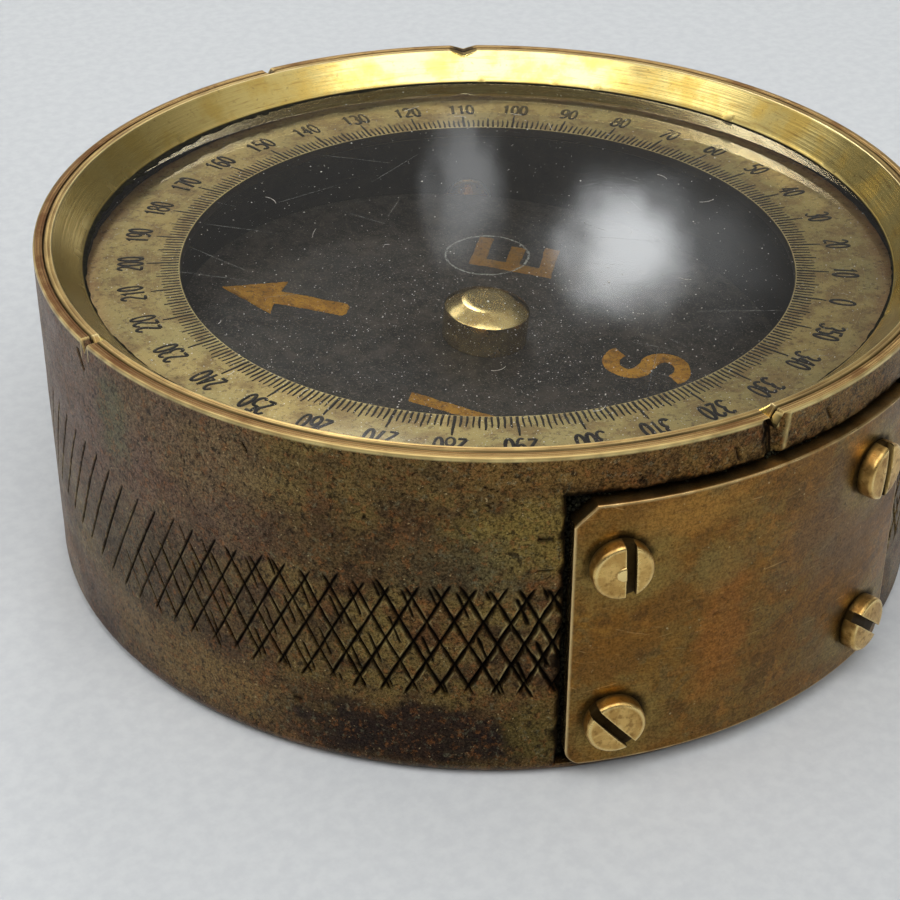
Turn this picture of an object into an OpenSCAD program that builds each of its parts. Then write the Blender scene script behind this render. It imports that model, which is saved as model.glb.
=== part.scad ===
// Dry-card marching compass: a heavy turned brass drum with a flat glass, a fixed
// degree ring, a floating black card on a steel point and a card lock.
// Frame: origin at the centre of the underside, +Z up, +Y along the sight line from
// the deep rim notch over the side plate (at -Y) to the narrow notch on the far rim.
// All lengths are millimetres, all azimuths are degrees anticlockwise from +X.

/* [Case] */
// Outside radius of the drum
case_r = 31; // [30.8:0.1:31.6]
// Height from the table to the top of the rim
case_h = 23.8; // [23.6:0.1:26]
// Radius of the round at the bottom edge
foot_round = 1.0; // [0.5:0.1:1.4]
// Inside radius of the blackened well
well_r = 26; // [25.9:0.1:26.4]
// Thickness of the base plate
base_t = 2.2; // [2.1:0.1:2.4]

/* [Rim and glass] */
// Width of the flat rim top, over the case wall and the bezel ring together
rim_w = 1.24; // [1.1:0.02:1.5]
// Height of the polished bevel inside the rim
bevel_h = 1.95; // [1.6:0.05:2.1]
// Thickness of the glass
glass_t = 2.2; // [2:0.05:2.3]
// Radius of the opening in the degree ring
ring_open_r = 21.3; // [20.8:0.1:22.5]
// Thickness of the degree ring
ring_t = 0.8; // [0.6:0.05:0.9]

/* [Side plate] */
// Half of the angle that the side plate covers
plate_half = 24.1; // [21:0.1:25]
// Height of the side plate's lower edge
plate_z0 = 1.2; // [1.1:0.1:2]
// Height of the side plate's upper edge
plate_z1 = 20.6; // [19.5:0.1:20.7]
// How far the side plate stands proud of the drum
plate_proud = 0.62; // [0.4:0.02:0.9]
// Diameter of the side plate's screw heads
screw_head_d = 3.8; // [3.2:0.1:4]

/* [Card] */
// Radius of the card
card_r = 22; // [20.6:0.1:22]
// Azimuth that the north arrow points to
card_heading = 135.7; // [0:0.1:360]
// How far the card hangs out of level, north side up
card_tilt = 5; // [0:0.5:5]
// Height of the steel point that carries the card
pivot_z = 14.3; // [14.2:0.05:14.4]

/* [Card lock] */
// Azimuth of the lock knob, on the far side of the drum
lock_az = 60; // [45:1:75]
// Diameter of the lock knob
knob_d = 4.8; // [4:0.1:5.4]
// Half of the angle that the lock lever rocks through
rock = 8.5; // [8:0.1:8.6]

/* [Hidden] */
$fn = 96;

brass_dark = [0.36, 0.29, 0.15];
brass_plate = [0.52, 0.39, 0.18];
brass_bright = [0.80, 0.66, 0.30];
brass_ring = [0.55, 0.50, 0.30];
black = [0.06, 0.06, 0.06];
steel = [0.62, 0.63, 0.65];
ochre = [0.74, 0.45, 0.13];

// the stack under the rim, from the top down
bezel_r = case_r - 0.7;                     // joint between the case wall and the bezel ring
lip_top_r = case_r - rim_w;                 // inner edge of the flat rim
lip_r = lip_top_r - bevel_h;                // lower edge of the bevel
glass_top = case_h - 2.0;
glass_bot = glass_top - glass_t;
glass_r = case_r - 2.4;
packing_t = 0.25;
ring_top = glass_bot - packing_t;
ring_bot = ring_top - ring_t;
seat_r = glass_r + 0.1;
thread_z = glass_top - 0.55;                // shoulder that the bezel ring screws down on

// the bottom
rebate_r = case_r - 2.8;
ledge_r = well_r - 2;
ledge_t = 2.2;

// the side plate and its recess
plate_az = -90.1;
recess_r = case_r - 0.75;
plate_out = case_r + plate_proud;
gap = 0.4;
screw_spots = [[-109.1, 16.3], [-108.9, 4.6], [-72.7, 4.4], [-73.4, 16.6]];
slot_turns = [2, 41, 49, 356];             // how each hand-cut slot is turned
slot_shifts = [0.42, -0.2, 0, 0];          // how far each slot misses the centre of its head
head_h = 1.1;

// the card, drawn level and then tilted about the steel point
card_top = pivot_z - 1.5;
card_t = 0.5;
card_bot = card_top - card_t;
cap_r = 3.05;
hub_r = 2.0;
paint_t = 0.08;
letter_r = 12;

// the card lock: lever arm, pin height and the shaft of the knob
arm = 12;
pin_z = 7.4;
shank_r = 1.0;
knob_z = 10.9;
travel = 2 * arm * sin(rock) - 0.05;
head_in = case_r + 0.2;

module at(az, r, z) { rotate([0, 0, az]) translate([r, 0, z]) children(); }
// a cylinder along +X, from x = 0
module rod(r, len) { rotate([0, 90, 0]) cylinder(r = r, h = len); }
// a block of a ring, between two radii, two azimuths and two heights
module sector(r0, r1, a0, a1, z0, z1) {
    rotate([0, 0, a0]) rotate_extrude(angle = a1 - a0)
        translate([r0, z0]) square([r1 - r0, z1 - z0]);
}
module ring(r0, r1, z0, z1) {
    difference() {
        translate([0, 0, z0]) cylinder(r = r1, h = z1 - z0);
        translate([0, 0, z0 - 1]) cylinder(r = r0, h = z1 - z0 + 2);
    }
}
// a V notch filed across the rim
module rim_notch(az, w, d) {
    rotate([0, 0, az]) translate([case_r - 3.6, 0, case_h])
        rotate([90, 0, 90]) linear_extrude(height = 4.6)
            polygon([[-w / 2 - 0.02, 0.02], [-w / 2 - 0.02, 1], [w / 2 + 0.02, 1], [w / 2 + 0.02, 0.02], [0, -d]]);
}

// ---------------------------------------------------------------- case
module case_profile() {
    difference() {
        polygon([
            [rebate_r, 0], [case_r, 0], [case_r, case_h - 0.18], [case_r - 0.18, case_h],
            [bezel_r, case_h], [bezel_r, thread_z], [seat_r, thread_z], [seat_r, ring_bot],
            [well_r, ring_bot], [well_r, base_t + ledge_t], [ledge_r, base_t + ledge_t],
            [ledge_r, base_t], [rebate_r, base_t]]);
        translate([case_r - foot_round, 0]) difference() {
            translate([0, -1]) square([foot_round + 1, foot_round + 1]);
            translate([0, foot_round]) circle(r = foot_round);
        }
    }
}
module case_notches() {
    rim_notch(-90.3, 1.1, 1.0);
    rim_notch(91.2, 0.8, 0.7);
    rim_notch(-177.1, 0.9, 0.8);
    rim_notch(60.3, 2.2, 0.35);
}
module knob_slot() {
    at(lock_az, well_r - 1, knob_z) rod(shank_r + 0.15, 8);
    at(lock_az, well_r - 1, knob_z - travel) rod(shank_r + 0.15, 8);
    at(lock_az, well_r - 1, knob_z - travel / 2)
        translate([4, 0, 0]) cube([8, 2 * shank_r + 0.3, travel], center = true);
}
module case_body() {
    color(brass_dark) difference() {
        rotate_extrude() case_profile();
        // the square-cornered recess for the side plate
        sector(recess_r, case_r + 2, plate_az - plate_half - 0.7, plate_az + plate_half + 0.7,
            plate_z0 - 0.3, plate_z1 + gap);
        // scoop down the wall under the deep sight notch
        at(-90.3, case_r + 0.35, plate_z1 + gap - 0.1) cylinder(r1 = 0.75, r2 = 1.25, h = 4);
        case_notches();
        // tapped holes of the side plate and of the base plate
        for (s = screw_spots) at(s[0], case_r - 3.6, s[1]) rod(0.95, 5);
        for (a = [30, 150, 270]) at(a, case_r - 4.9, 1) cylinder(r = 0.85, h = 3);
        knob_slot();
    }
}
module base_plate() {
    color(brass_dark) difference() {
        union() {
            cylinder(r = rebate_r, h = base_t);
        }
        translate([0, 0, 0.8]) cylinder(r = 1.5, h = 3);
        for (a = [30, 150, 270]) {
            at(a, case_r - 4.9, -1) cylinder(r = 0.85, h = 5);
            at(a, case_r - 4.9, 0) cylinder(r1 = 1.7, r2 = 0.85, h = 0.85);
        }
        for (s = [-1, 1]) rotate([0, 0, lock_az]) translate([arm, 4.9 * s, 1]) cylinder(r = 0.6, h = 3);
    }
}
module base_screws() {
    color(brass_bright) for (a = [30, 150, 270]) at(a, case_r - 4.9, 0) rotate([0, 0, a / 2]) difference() {
        union() {
            cylinder(r1 = 1.7, r2 = 0.85, h = 0.85);
            cylinder(r = 0.85, h = 4);
        }
        translate([0, 0, 0.1]) cube([4, 0.5, 0.8], center = true);
    }
}

// ---------------------------------------------------------------- side plate
module side_plate() {
    a0 = plate_az - plate_half;
    a1 = plate_az + plate_half;
    color(brass_plate) difference() {
        sector(recess_r, plate_out, a0, a1, plate_z0, plate_z1);
        // clipped upper corner on the left, rounded lower corners
        at(a0, case_r, plate_z1) rotate([45, 0, 0]) cube([6, 1.9, 1.9], center = true);
        for (k = [[a0, 1], [a1, -1]]) at(k[0], recess_r - 1, plate_z0) difference() {
            translate([0, -1.2, -1.2]) cube([4, 2.4, 2.4]);
            translate([-1, k[1] * 1.2, 1.2]) rod(1.2, 6);
            translate([-1, k[1] > 0 ? 1.2 : -4, -3]) cube([6, 2.8, 8]);
            translate([-1, -3, 1.2]) cube([6, 6, 4]);
        }
        // clearance holes
        for (s = screw_spots) at(s[0], case_r - 2, s[1]) rod(1.05, 5);
    }
}
module side_plate_screws() {
    color(brass_bright) for (i = [0 : len(screw_spots) - 1])
        at(screw_spots[i][0], plate_out, screw_spots[i][1]) difference() {
            union() {
                // the flat underside of the head stands a hair clear of the curved plate
                translate([0.012, 0, 0]) rod(screw_head_d / 2, head_h - 0.212);
                translate([head_h - 0.2, 0, 0]) rotate([0, 90, 0])
                    cylinder(r1 = screw_head_d / 2, r2 = screw_head_d / 2 - 0.2, h = 0.2);
                translate([-3.9, 0, 0]) rod(0.95, 4);
            }
            translate([head_h, 0, 0]) rotate([slot_turns[i], 0, 0]) translate([0, slot_shifts[i], 0]) cube([1.2, 0.68, 6], center = true);
        }
}

// ---------------------------------------------------------------- rim
module bezel_ring() {
    color(brass_bright) difference() {
        rotate_extrude() polygon([
            [bezel_r - 0.04, thread_z], [bezel_r - 0.04, case_h - 0.06], [bezel_r - 0.1, case_h],
            [lip_top_r, case_h], [lip_r, case_h - bevel_h], [lip_r, glass_top],
            [glass_r + 0.2, glass_top], [glass_r + 0.2, thread_z]]);
        case_notches();
        at(-90.3, case_r + 0.35, plate_z1 + gap - 0.1) cylinder(r1 = 0.75, r2 = 1.25, h = 4);
    }
}
module cover_glass() {
    color([0.85, 0.9, 0.9, 0.3]) rotate_extrude() polygon([
        [0, glass_bot], [glass_r - 0.15, glass_bot], [glass_r, glass_bot + 0.15],
        [glass_r, glass_top - 0.15], [glass_r - 0.15, glass_top], [0, glass_top]]);
}
module glass_packing_ring() { color(black) ring(lip_r - 0.1, glass_r - 0.15, ring_top, glass_bot); }
module degree_ring() { color(brass_ring) ring(ring_open_r, glass_r + 0.05, ring_bot, ring_top); }

// ---------------------------------------------------------------- pivot
module pivot_post() {
    color(brass_bright) difference() {
        union() {
            translate([0, 0, 0.8]) cylinder(r = 1.5, h = 2);
            translate([0, 0, base_t]) cylinder(r = 4, h = 0.9);
            translate([0, 0, base_t + 0.9]) cylinder(r1 = 4, r2 = 3.7, h = 0.3);
            translate([0, 0, base_t]) cylinder(r = 1.9, h = 10.8 - base_t);
        }
        translate([0, 0, 6]) cylinder(r = 0.6, h = 8);
        for (s = [-1, 1]) rotate([0, 0, lock_az]) translate([0, 3 * s, base_t + 0.5]) cylinder(r = 0.4, h = 2);
    }
}
module pivot_needle() {
    color(steel) {
        translate([0, 0, 6]) cylinder(r = 0.6, h = 6.6);
        translate([0, 0, 12.6]) cylinder(r1 = 0.6, r2 = 0.05, h = pivot_z - 0.03 - 12.6);
    }
}

// ---------------------------------------------------------------- card, with +Y as its north
module hung() {
    translate([0, 0, pivot_z]) rotate([0, 0, card_heading - 90]) rotate([card_tilt, 0, 0])
        translate([0, 0, -pivot_z]) children();
}
module compass_card() {
    color(black) hung() ring(hub_r, card_r, card_bot, card_top);
}
module north_arrow_paint() {
    color(ochre) hung() translate([0, 0, card_top]) linear_extrude(height = paint_t)
        polygon([[0, 19.6], [2.5, 15.1], [0.9, 15.3], [0.85, 10.3], [0.4, 10], [-0.4, 10],
            [-0.85, 10.3], [-0.9, 15.3], [-2.5, 15.1]]);
}
// the spine of the S, as a rule: two arcs that meet in the middle
function s_point(t) = t < 0.5
    ? let (a = 35 + 235 * t * 2) [1.5 * cos(a), 1.32 + 1.25 * sin(a)]
    : let (a = 90 - 235 * (t - 0.5) * 2) [1.5 * cos(a), -1.32 + 1.25 * sin(a)];
function s_side(t, d) = let (p = s_point(max(0, t - 0.01)), q = s_point(min(1, t + 0.01)),
    u = (q - p) / norm(q - p)) s_point(t) + d * [-u[1], u[0]];
module letter_s() {
    n = 20;
    polygon(concat([for (i = [0 : n]) s_side(i / n, 0.6)], [for (i = [n : -1 : 0]) s_side(i / n, -0.6)]));
}
module letter_e() {
    translate([-2.3, -3.2]) square([1.25, 6.4]);
    for (y = [-3.2, 2.0]) translate([-2.3, y]) square([4.6, 1.2]);
    translate([-2.3, -0.55]) square([3.9, 1.1]);
}
module letter_w() {
    polygon([[-2.9, 3.3], [-1.7, 3.3], [-1.1, -0.9], [-0.45, 2.2], [0.45, 2.2], [1.1, -0.9], [1.7, 3.3], [2.9, 3.3],
        [1.75, -3.2], [0.6, -3.2], [0, -0.1], [-0.6, -3.2], [-1.75, -3.2]]);
}
module letter_paint() {
    color(ochre) hung() translate([0, 0, card_top]) linear_extrude(height = paint_t) {
        translate([0, -letter_r + 0.2]) letter_s();
        translate([letter_r + 0.3, 0]) letter_e();
        translate([-letter_r, 0]) letter_w();
    }
}
module card_cap() {
    color(brass_bright) hung() difference() {
        union() {
            translate([0, 0, card_top]) cylinder(r = cap_r, h = 2.3);
            translate([0, 0, card_top + 2.3]) cylinder(r1 = cap_r, r2 = 1.85, h = 0.6);
            translate([0, 0, card_bot - 1]) cylinder(r = hub_r, h = 2);
        }
        translate([0, 0, card_bot - 2]) cylinder(r = 1.45, h = 2 + card_t + 2.1);
    }
}
module cap_jewel() {
    color([0.55, 0.15, 0.12]) hung() difference() {
        translate([0, 0, pivot_z - 0.35]) cylinder(r = 1.45, h = card_top + 2.1 - pivot_z + 0.35);
        translate([0, 0, pivot_z - 0.351]) cylinder(r1 = 0.6, r2 = 0.09, h = 0.4);
    }
}
module cap_nut() {
    color(brass_bright) hung() difference() {
        ring(hub_r, 3.4, card_bot - 1, card_bot);
        translate([0, 0, card_bot - 1]) cube([8, 0.7, 0.8], center = true);
    }
}
module card_magnets() {
    color(steel) hung() for (s = [-1, 1]) translate([7 * s - 1.2, -14, card_bot - 1]) cube([2.4, 28, 1]);
}
module magnet_clips() {
    color(brass_bright) hung() for (s = [-1, 1], k = [-1, 1]) translate([7 * s, 9 * k, card_bot]) difference() {
        translate([-1.7, -0.8, -1.3]) cube([3.4, 1.6, 1.3]);
        translate([-1.2, -2, -1]) cube([2.4, 4, 2]);
    }
}

// ---------------------------------------------------------------- card lock
module lifter_sleeve() {
    color(brass_bright) difference() {
        union() {
            translate([0, 0, 4.6]) cylinder(r = 2.6, h = 6);
            translate([0, 0, 7.1]) cylinder(r = 4.4, h = 0.8);
            translate([0, 0, 9.8]) cylinder(r = 3.2, h = 0.8);
        }
        translate([0, 0, 4]) cylinder(r = 1.95, h = 8);
    }
}
module lock_lever() {
    color(brass_bright) rotate([0, 0, lock_az]) translate([arm, 0, pin_z]) rotate([0, -rock, 0]) difference() {
        union() {
            // the beam, the boss round the pin, the fork and its round noses
            translate([-5, -2, -0.5]) cube([5 + arm + 0.3, 4, 1]);
            rotate([90, 0, 0]) cylinder(r = 1.9, h = 4, center = true);
            translate([-7.6, -4.4, -0.5]) cube([2.6, 8.8, 1]);
            for (s = [-1, 1]) {
                translate([-arm, s > 0 ? 2.95 : -4.4, -0.5]) cube([5, 1.45, 1]);
                translate([-arm, s * 3.675, 0]) rotate([90, 0, 0]) cylinder(r = 1.3, h = 1.45, center = true);
            }
        }
        rotate([90, 0, 0]) cylinder(r = 0.8, h = 10, center = true);
    }
}
module lever_bracket() {
    color(brass_dark) rotate([0, 0, lock_az]) translate([arm, 0, 0]) difference() {
        union() {
            translate([-1.6, -6.3, base_t]) cube([3.2, 12.6, 1]);
            for (s = [-1, 1]) {
                translate([-1.5, s > 0 ? 2.2 : -3.4, base_t]) cube([3, 1.2, pin_z - base_t]);
                translate([0, s * 2.8, pin_z]) rotate([90, 0, 0]) cylinder(r = 1.5, h = 1.2, center = true);
            }
        }
        translate([0, 0, pin_z]) rotate([90, 0, 0]) cylinder(r = 0.75, h = 10, center = true);
        for (s = [-1, 1]) translate([0, 4.9 * s, 1]) cylinder(r = 0.6, h = 4);
    }
}
module lever_pin() {
    color(steel) rotate([0, 0, lock_az]) translate([arm, 0, pin_z]) rotate([90, 0, 0])
        cylinder(r = 0.75, h = 7.4, center = true);
}
module bracket_screws() {
    color(brass_bright) rotate([0, 0, lock_az]) for (s = [-1, 1]) translate([arm, 4.9 * s, 0]) difference() {
        union() {
            translate([0, 0, base_t + 1]) cylinder(r = 1.2, h = 0.8);
            translate([0, 0, 1]) cylinder(r = 0.6, h = base_t + 0.2);
        }
        translate([0, 0, base_t + 1.8]) rotate([0, 0, 30 * s]) cube([4, 0.4, 0.8], center = true);
    }
}
module lock_knob() {
    color(brass_bright) at(lock_az, 0, knob_z) {
        translate([22.9, 0, 0]) rod(shank_r, head_in - 22.9);
        translate([head_in, 0, 0]) rod(1.6, 0.5);
        translate([head_in + 0.4, 0, 0]) rod(knob_d / 2, 1.3);
        translate([head_in + 1.7, 0, 0]) rotate([0, 90, 0])
            cylinder(r1 = knob_d / 2, r2 = knob_d / 2 - 0.4, h = 0.3);
    }
}
module knob_nut() {
    color(brass_bright) at(lock_az, well_r - 1.45, knob_z) difference() {
        rod(1.9, 0.95);
        translate([-1, 0, 0]) rod(shank_r, 3);
        cube([0.7, 0.5, 6], center = true);
    }
}
module knob_spring_washer() {
    color(steel) at(lock_az, well_r - 0.5, knob_z) difference() {
        rod(2.0, 0.25);
        translate([-1, 0, 0]) rod(shank_r, 3);
    }
}

case_body();
base_plate();
base_screws();
side_plate();
side_plate_screws();
bezel_ring();
cover_glass();
glass_packing_ring();
degree_ring();
pivot_post();
pivot_needle();
compass_card();
north_arrow_paint();
letter_paint();
card_cap();
cap_jewel();
cap_nut();
card_magnets();
magnet_clips();
lifter_sleeve();
lock_lever();
lever_bracket();
lever_pin();
bracket_screws();
lock_knob();
knob_nut();
knob_spring_washer();
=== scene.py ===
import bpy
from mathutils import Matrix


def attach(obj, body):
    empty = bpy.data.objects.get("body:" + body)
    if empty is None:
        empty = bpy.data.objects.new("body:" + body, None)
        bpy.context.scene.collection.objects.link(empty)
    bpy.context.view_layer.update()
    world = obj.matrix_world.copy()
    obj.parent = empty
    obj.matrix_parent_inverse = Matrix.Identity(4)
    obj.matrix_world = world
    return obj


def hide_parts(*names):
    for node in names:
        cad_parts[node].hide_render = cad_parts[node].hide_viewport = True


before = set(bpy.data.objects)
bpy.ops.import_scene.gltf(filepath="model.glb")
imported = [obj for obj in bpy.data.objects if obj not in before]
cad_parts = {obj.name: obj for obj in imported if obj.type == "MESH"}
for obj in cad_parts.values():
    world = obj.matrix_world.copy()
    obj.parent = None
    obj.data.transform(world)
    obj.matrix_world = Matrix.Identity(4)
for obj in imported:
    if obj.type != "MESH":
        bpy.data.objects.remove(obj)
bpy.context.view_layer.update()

import math

import bpy
import bmesh
import numpy as np
from mathutils import Matrix, Vector

# Lengths below are millimetres, angles are degrees anticlockwise from +X, unless a name says otherwise.
MM = 0.001
R_CASE, H_CASE = 31.0, 23.8
BEZEL_R = 30.3
LIP_TOP = 29.76
LIP_R = 27.81
GLASS_TOP, GLASS_BOT, GLASS_R = 21.8, 19.6, 28.6
RING_TOP, RING_BOT, RING_OPEN = 19.35, 18.55, 21.3
WELL_R = 26.0
PLATE_AZ, PLATE_HALF, PLATE_Z0, PLATE_Z1, PLATE_OUT, RECESS_R = -90.1, 24.1, 1.2, 20.6, 31.62, 30.25
SCREWS = [(-109.1, 16.3, 2.0, 0.42), (-108.9, 4.6, 41.0, -0.2), (-72.7, 4.4, 49.0, 0.0), (-73.4, 16.6, -4.0, 0.0)]
NOTCHES = [(-90.3, 1.1, 1.0), (91.2, 0.8, 0.7), (-177.1, 0.9, 0.8), (60.3, 2.2, 0.35)]
LOCK_AZ, KNOB_Z, TRAVEL = 60.0, 10.9, 3.4974
PIVOT_Z, CARD_TOP = 14.3, 12.8
CARD = Matrix.Translation((0, 0, PIVOT_Z)) @ Matrix.Rotation(math.radians(45.7), 4, "Z") \
    @ Matrix.Rotation(math.radians(5), 4, "X") @ Matrix.Translation((0, 0, -PIVOT_Z))


# ------------------------------------------------------------------ seeded noise
def hashed(i, j, seed):
    h = (i.astype(np.int64) * 374761393 + j.astype(np.int64) * 668265263 + seed * 362437) & 0xFFFFFFFF
    h = ((h ^ (h >> 13)) * 1274126177) & 0xFFFFFFFF
    return ((h ^ (h >> 16)) & 0xFFFFFF) / float(0x1000000)


def vnoise(x, y, seed, period=None):
    """Smooth noise in 0..1. x repeats after period cells."""
    x, y = np.broadcast_arrays(np.asarray(x, float), np.asarray(y, float))
    xi, yi = np.floor(x).astype(np.int64), np.floor(y).astype(np.int64)
    u, v = x - xi, y - yi
    u, v = u * u * (3 - 2 * u), v * v * (3 - 2 * v)
    wrap = (lambda k: k % period) if period else (lambda k: k)
    a, b = hashed(wrap(xi), yi, seed), hashed(wrap(xi + 1), yi, seed)
    c, d = hashed(wrap(xi), yi + 1, seed), hashed(wrap(xi + 1), yi + 1, seed)
    return (a * (1 - u) + b * u) * (1 - v) + (c * (1 - u) + d * u) * v


def turn(az):
    """Degrees wrapped to -180..180."""
    return (np.asarray(az, float) + 180.0) % 360.0 - 180.0


# ------------------------------------------------------------------ mesh helpers
def make_mesh(name, verts, faces, smooth=True, attrs=None, sharp_deg=None):
    """verts in millimetres, faces a list of (n, k) index arrays."""
    me = bpy.data.meshes.new(name)
    v = np.asarray(verts, float).reshape(-1, 3) * MM
    faces = [np.asarray(f, np.int64) for f in faces if len(f)]
    loops = np.concatenate([f.ravel() for f in faces])
    starts, at = [], 0
    for f in faces:
        starts.append(at + np.arange(len(f)) * f.shape[1])
        at += f.size
    starts = np.concatenate(starts)
    me.vertices.add(len(v))
    me.vertices.foreach_set("co", v.astype(np.float32).ravel())
    me.loops.add(len(loops))
    me.loops.foreach_set("vertex_index", loops.astype(np.int32))
    me.polygons.add(len(starts))
    me.polygons.foreach_set("loop_start", starts.astype(np.int32))
    me.update(calc_edges=True)
    me.validate()
    if smooth:
        me.polygons.foreach_set("use_smooth", np.ones(len(me.polygons), bool))
    for k, a in (attrs or {}).items():
        at = me.attributes.new(k, "FLOAT", "POINT")
        at.data.foreach_set("value", np.asarray(a, np.float32).ravel())
    ob = bpy.data.objects.new(name, me)
    bpy.context.scene.collection.objects.link(ob)
    if sharp_deg is not None:
        me.set_sharp_from_angle(angle=math.radians(sharp_deg))
    return ob


def grid_faces(n, m, wrap_n=True, wrap_m=True, flip=False, keep=None):
    """Quads of an n by m vertex grid, index i * m + j."""
    i = np.arange(n if wrap_n else n - 1)
    j = np.arange(m if wrap_m else m - 1)
    I, J = np.meshgrid(i, j, indexing="ij")
    I2, J2 = (I + 1) % n, (J + 1) % m
    q = np.stack([I * m + J, I2 * m + J, I2 * m + J2, I * m + J2], -1)
    if flip:
        q = q[..., ::-1]
    if keep is not None:
        return q[keep]
    return q.reshape(-1, 4)


def lathe(name, profile, n=256, wobble=None, smooth=True, sharp_deg=30, axis=None, attrs=None):
    """Closed profile of (r, z) points turned about Z. Points with r = 0 are merged at the ends of an open one."""
    prof = np.asarray(profile, float)
    closed = prof[0][0] > 1e-6
    if closed:
        az = np.arange(n) * 2 * math.pi / n
        A, Rr = np.meshgrid(az, prof[:, 0], indexing="ij")
        Z = np.broadcast_to(prof[:, 1], A.shape).copy()
        if wobble is not None:
            Rr, Z = wobble(A, Rr.copy(), Z)
        V = np.stack([Rr * np.cos(A), Rr * np.sin(A), Z], -1)
        return make_mesh(name, V, [grid_faces(n, len(prof))], smooth, attrs, sharp_deg)
    inner = prof[1:-1]
    az = np.arange(n) * 2 * math.pi / n
    A, Rr = np.meshgrid(az, inner[:, 0], indexing="ij")
    Z = np.broadcast_to(inner[:, 1], A.shape).copy()
    if wobble is not None:
        Rr, Z = wobble(A, Rr.copy(), Z)
    V = np.stack([Rr * np.cos(A), Rr * np.sin(A), Z], -1).reshape(-1, 3)
    m = len(inner)
    quads = grid_faces(n, m, True, False)
    a, b = len(V), len(V) + 1
    V = np.vstack([V, [[0, 0, prof[0][1]], [0, 0, prof[-1][1]]]])
    i = np.arange(n)
    i2 = (i + 1) % n
    t0 = np.stack([np.full(n, a), i2 * m, i * m], -1)
    t1 = np.stack([np.full(n, b), i * m + m - 1, i2 * m + m - 1], -1)
    return make_mesh(name, V, [quads, t0, t1], smooth, attrs, sharp_deg)


def outward(ob):
    """Makes the face normals of a closed mesh point out."""
    bm = bmesh.new()
    bm.from_mesh(ob.data)
    bmesh.ops.recalc_face_normals(bm, faces=bm.faces)
    bm.to_mesh(ob.data)
    bm.free()
    return ob


def ribbon(points, width, z0, z1, closed=False):
    """A thin closed strip of the given width along 2D points. Returns vertices and quads."""
    p = np.asarray(points, float)
    n = len(p)
    w = np.broadcast_to(np.asarray(width, float), (n,))
    if closed:
        d = np.roll(p, -1, 0) - np.roll(p, 1, 0)
    else:
        d = np.gradient(p, axis=0)
    d /= np.maximum(np.linalg.norm(d, axis=1, keepdims=True), 1e-9)
    nrm = np.stack([-d[:, 1], d[:, 0]], -1)
    L, Rr = p + nrm * w[:, None] / 2, p - nrm * w[:, None] / 2
    ring = np.stack([np.c_[L, np.full(n, z0)], np.c_[L * 0.96 + p * 0.04, np.full(n, z1)],
                     np.c_[Rr * 0.96 + p * 0.04, np.full(n, z1)], np.c_[Rr, np.full(n, z0)]], 1)
    V = ring.reshape(-1, 3)
    F = grid_faces(n, 4, closed, True)
    faces = [F]
    if not closed:
        e = (n - 1) * 4
        faces.append(np.array([[3, 2, 1, 0], [e, e + 1, e + 2, e + 3]]))
    return V, np.vstack(faces)


def join_parts(parts):
    V, F, at = [], {}, 0
    for v, f in parts:
        V.append(v)
        f = np.asarray(f)
        F.setdefault(f.shape[1], []).append(f + at)
        at += len(v)
    return np.vstack(V), [np.vstack(x) for x in F.values()]


def polar(az, r, z):
    a = math.radians(az)
    return np.array([r * math.cos(a), r * math.sin(a), z])


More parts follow.
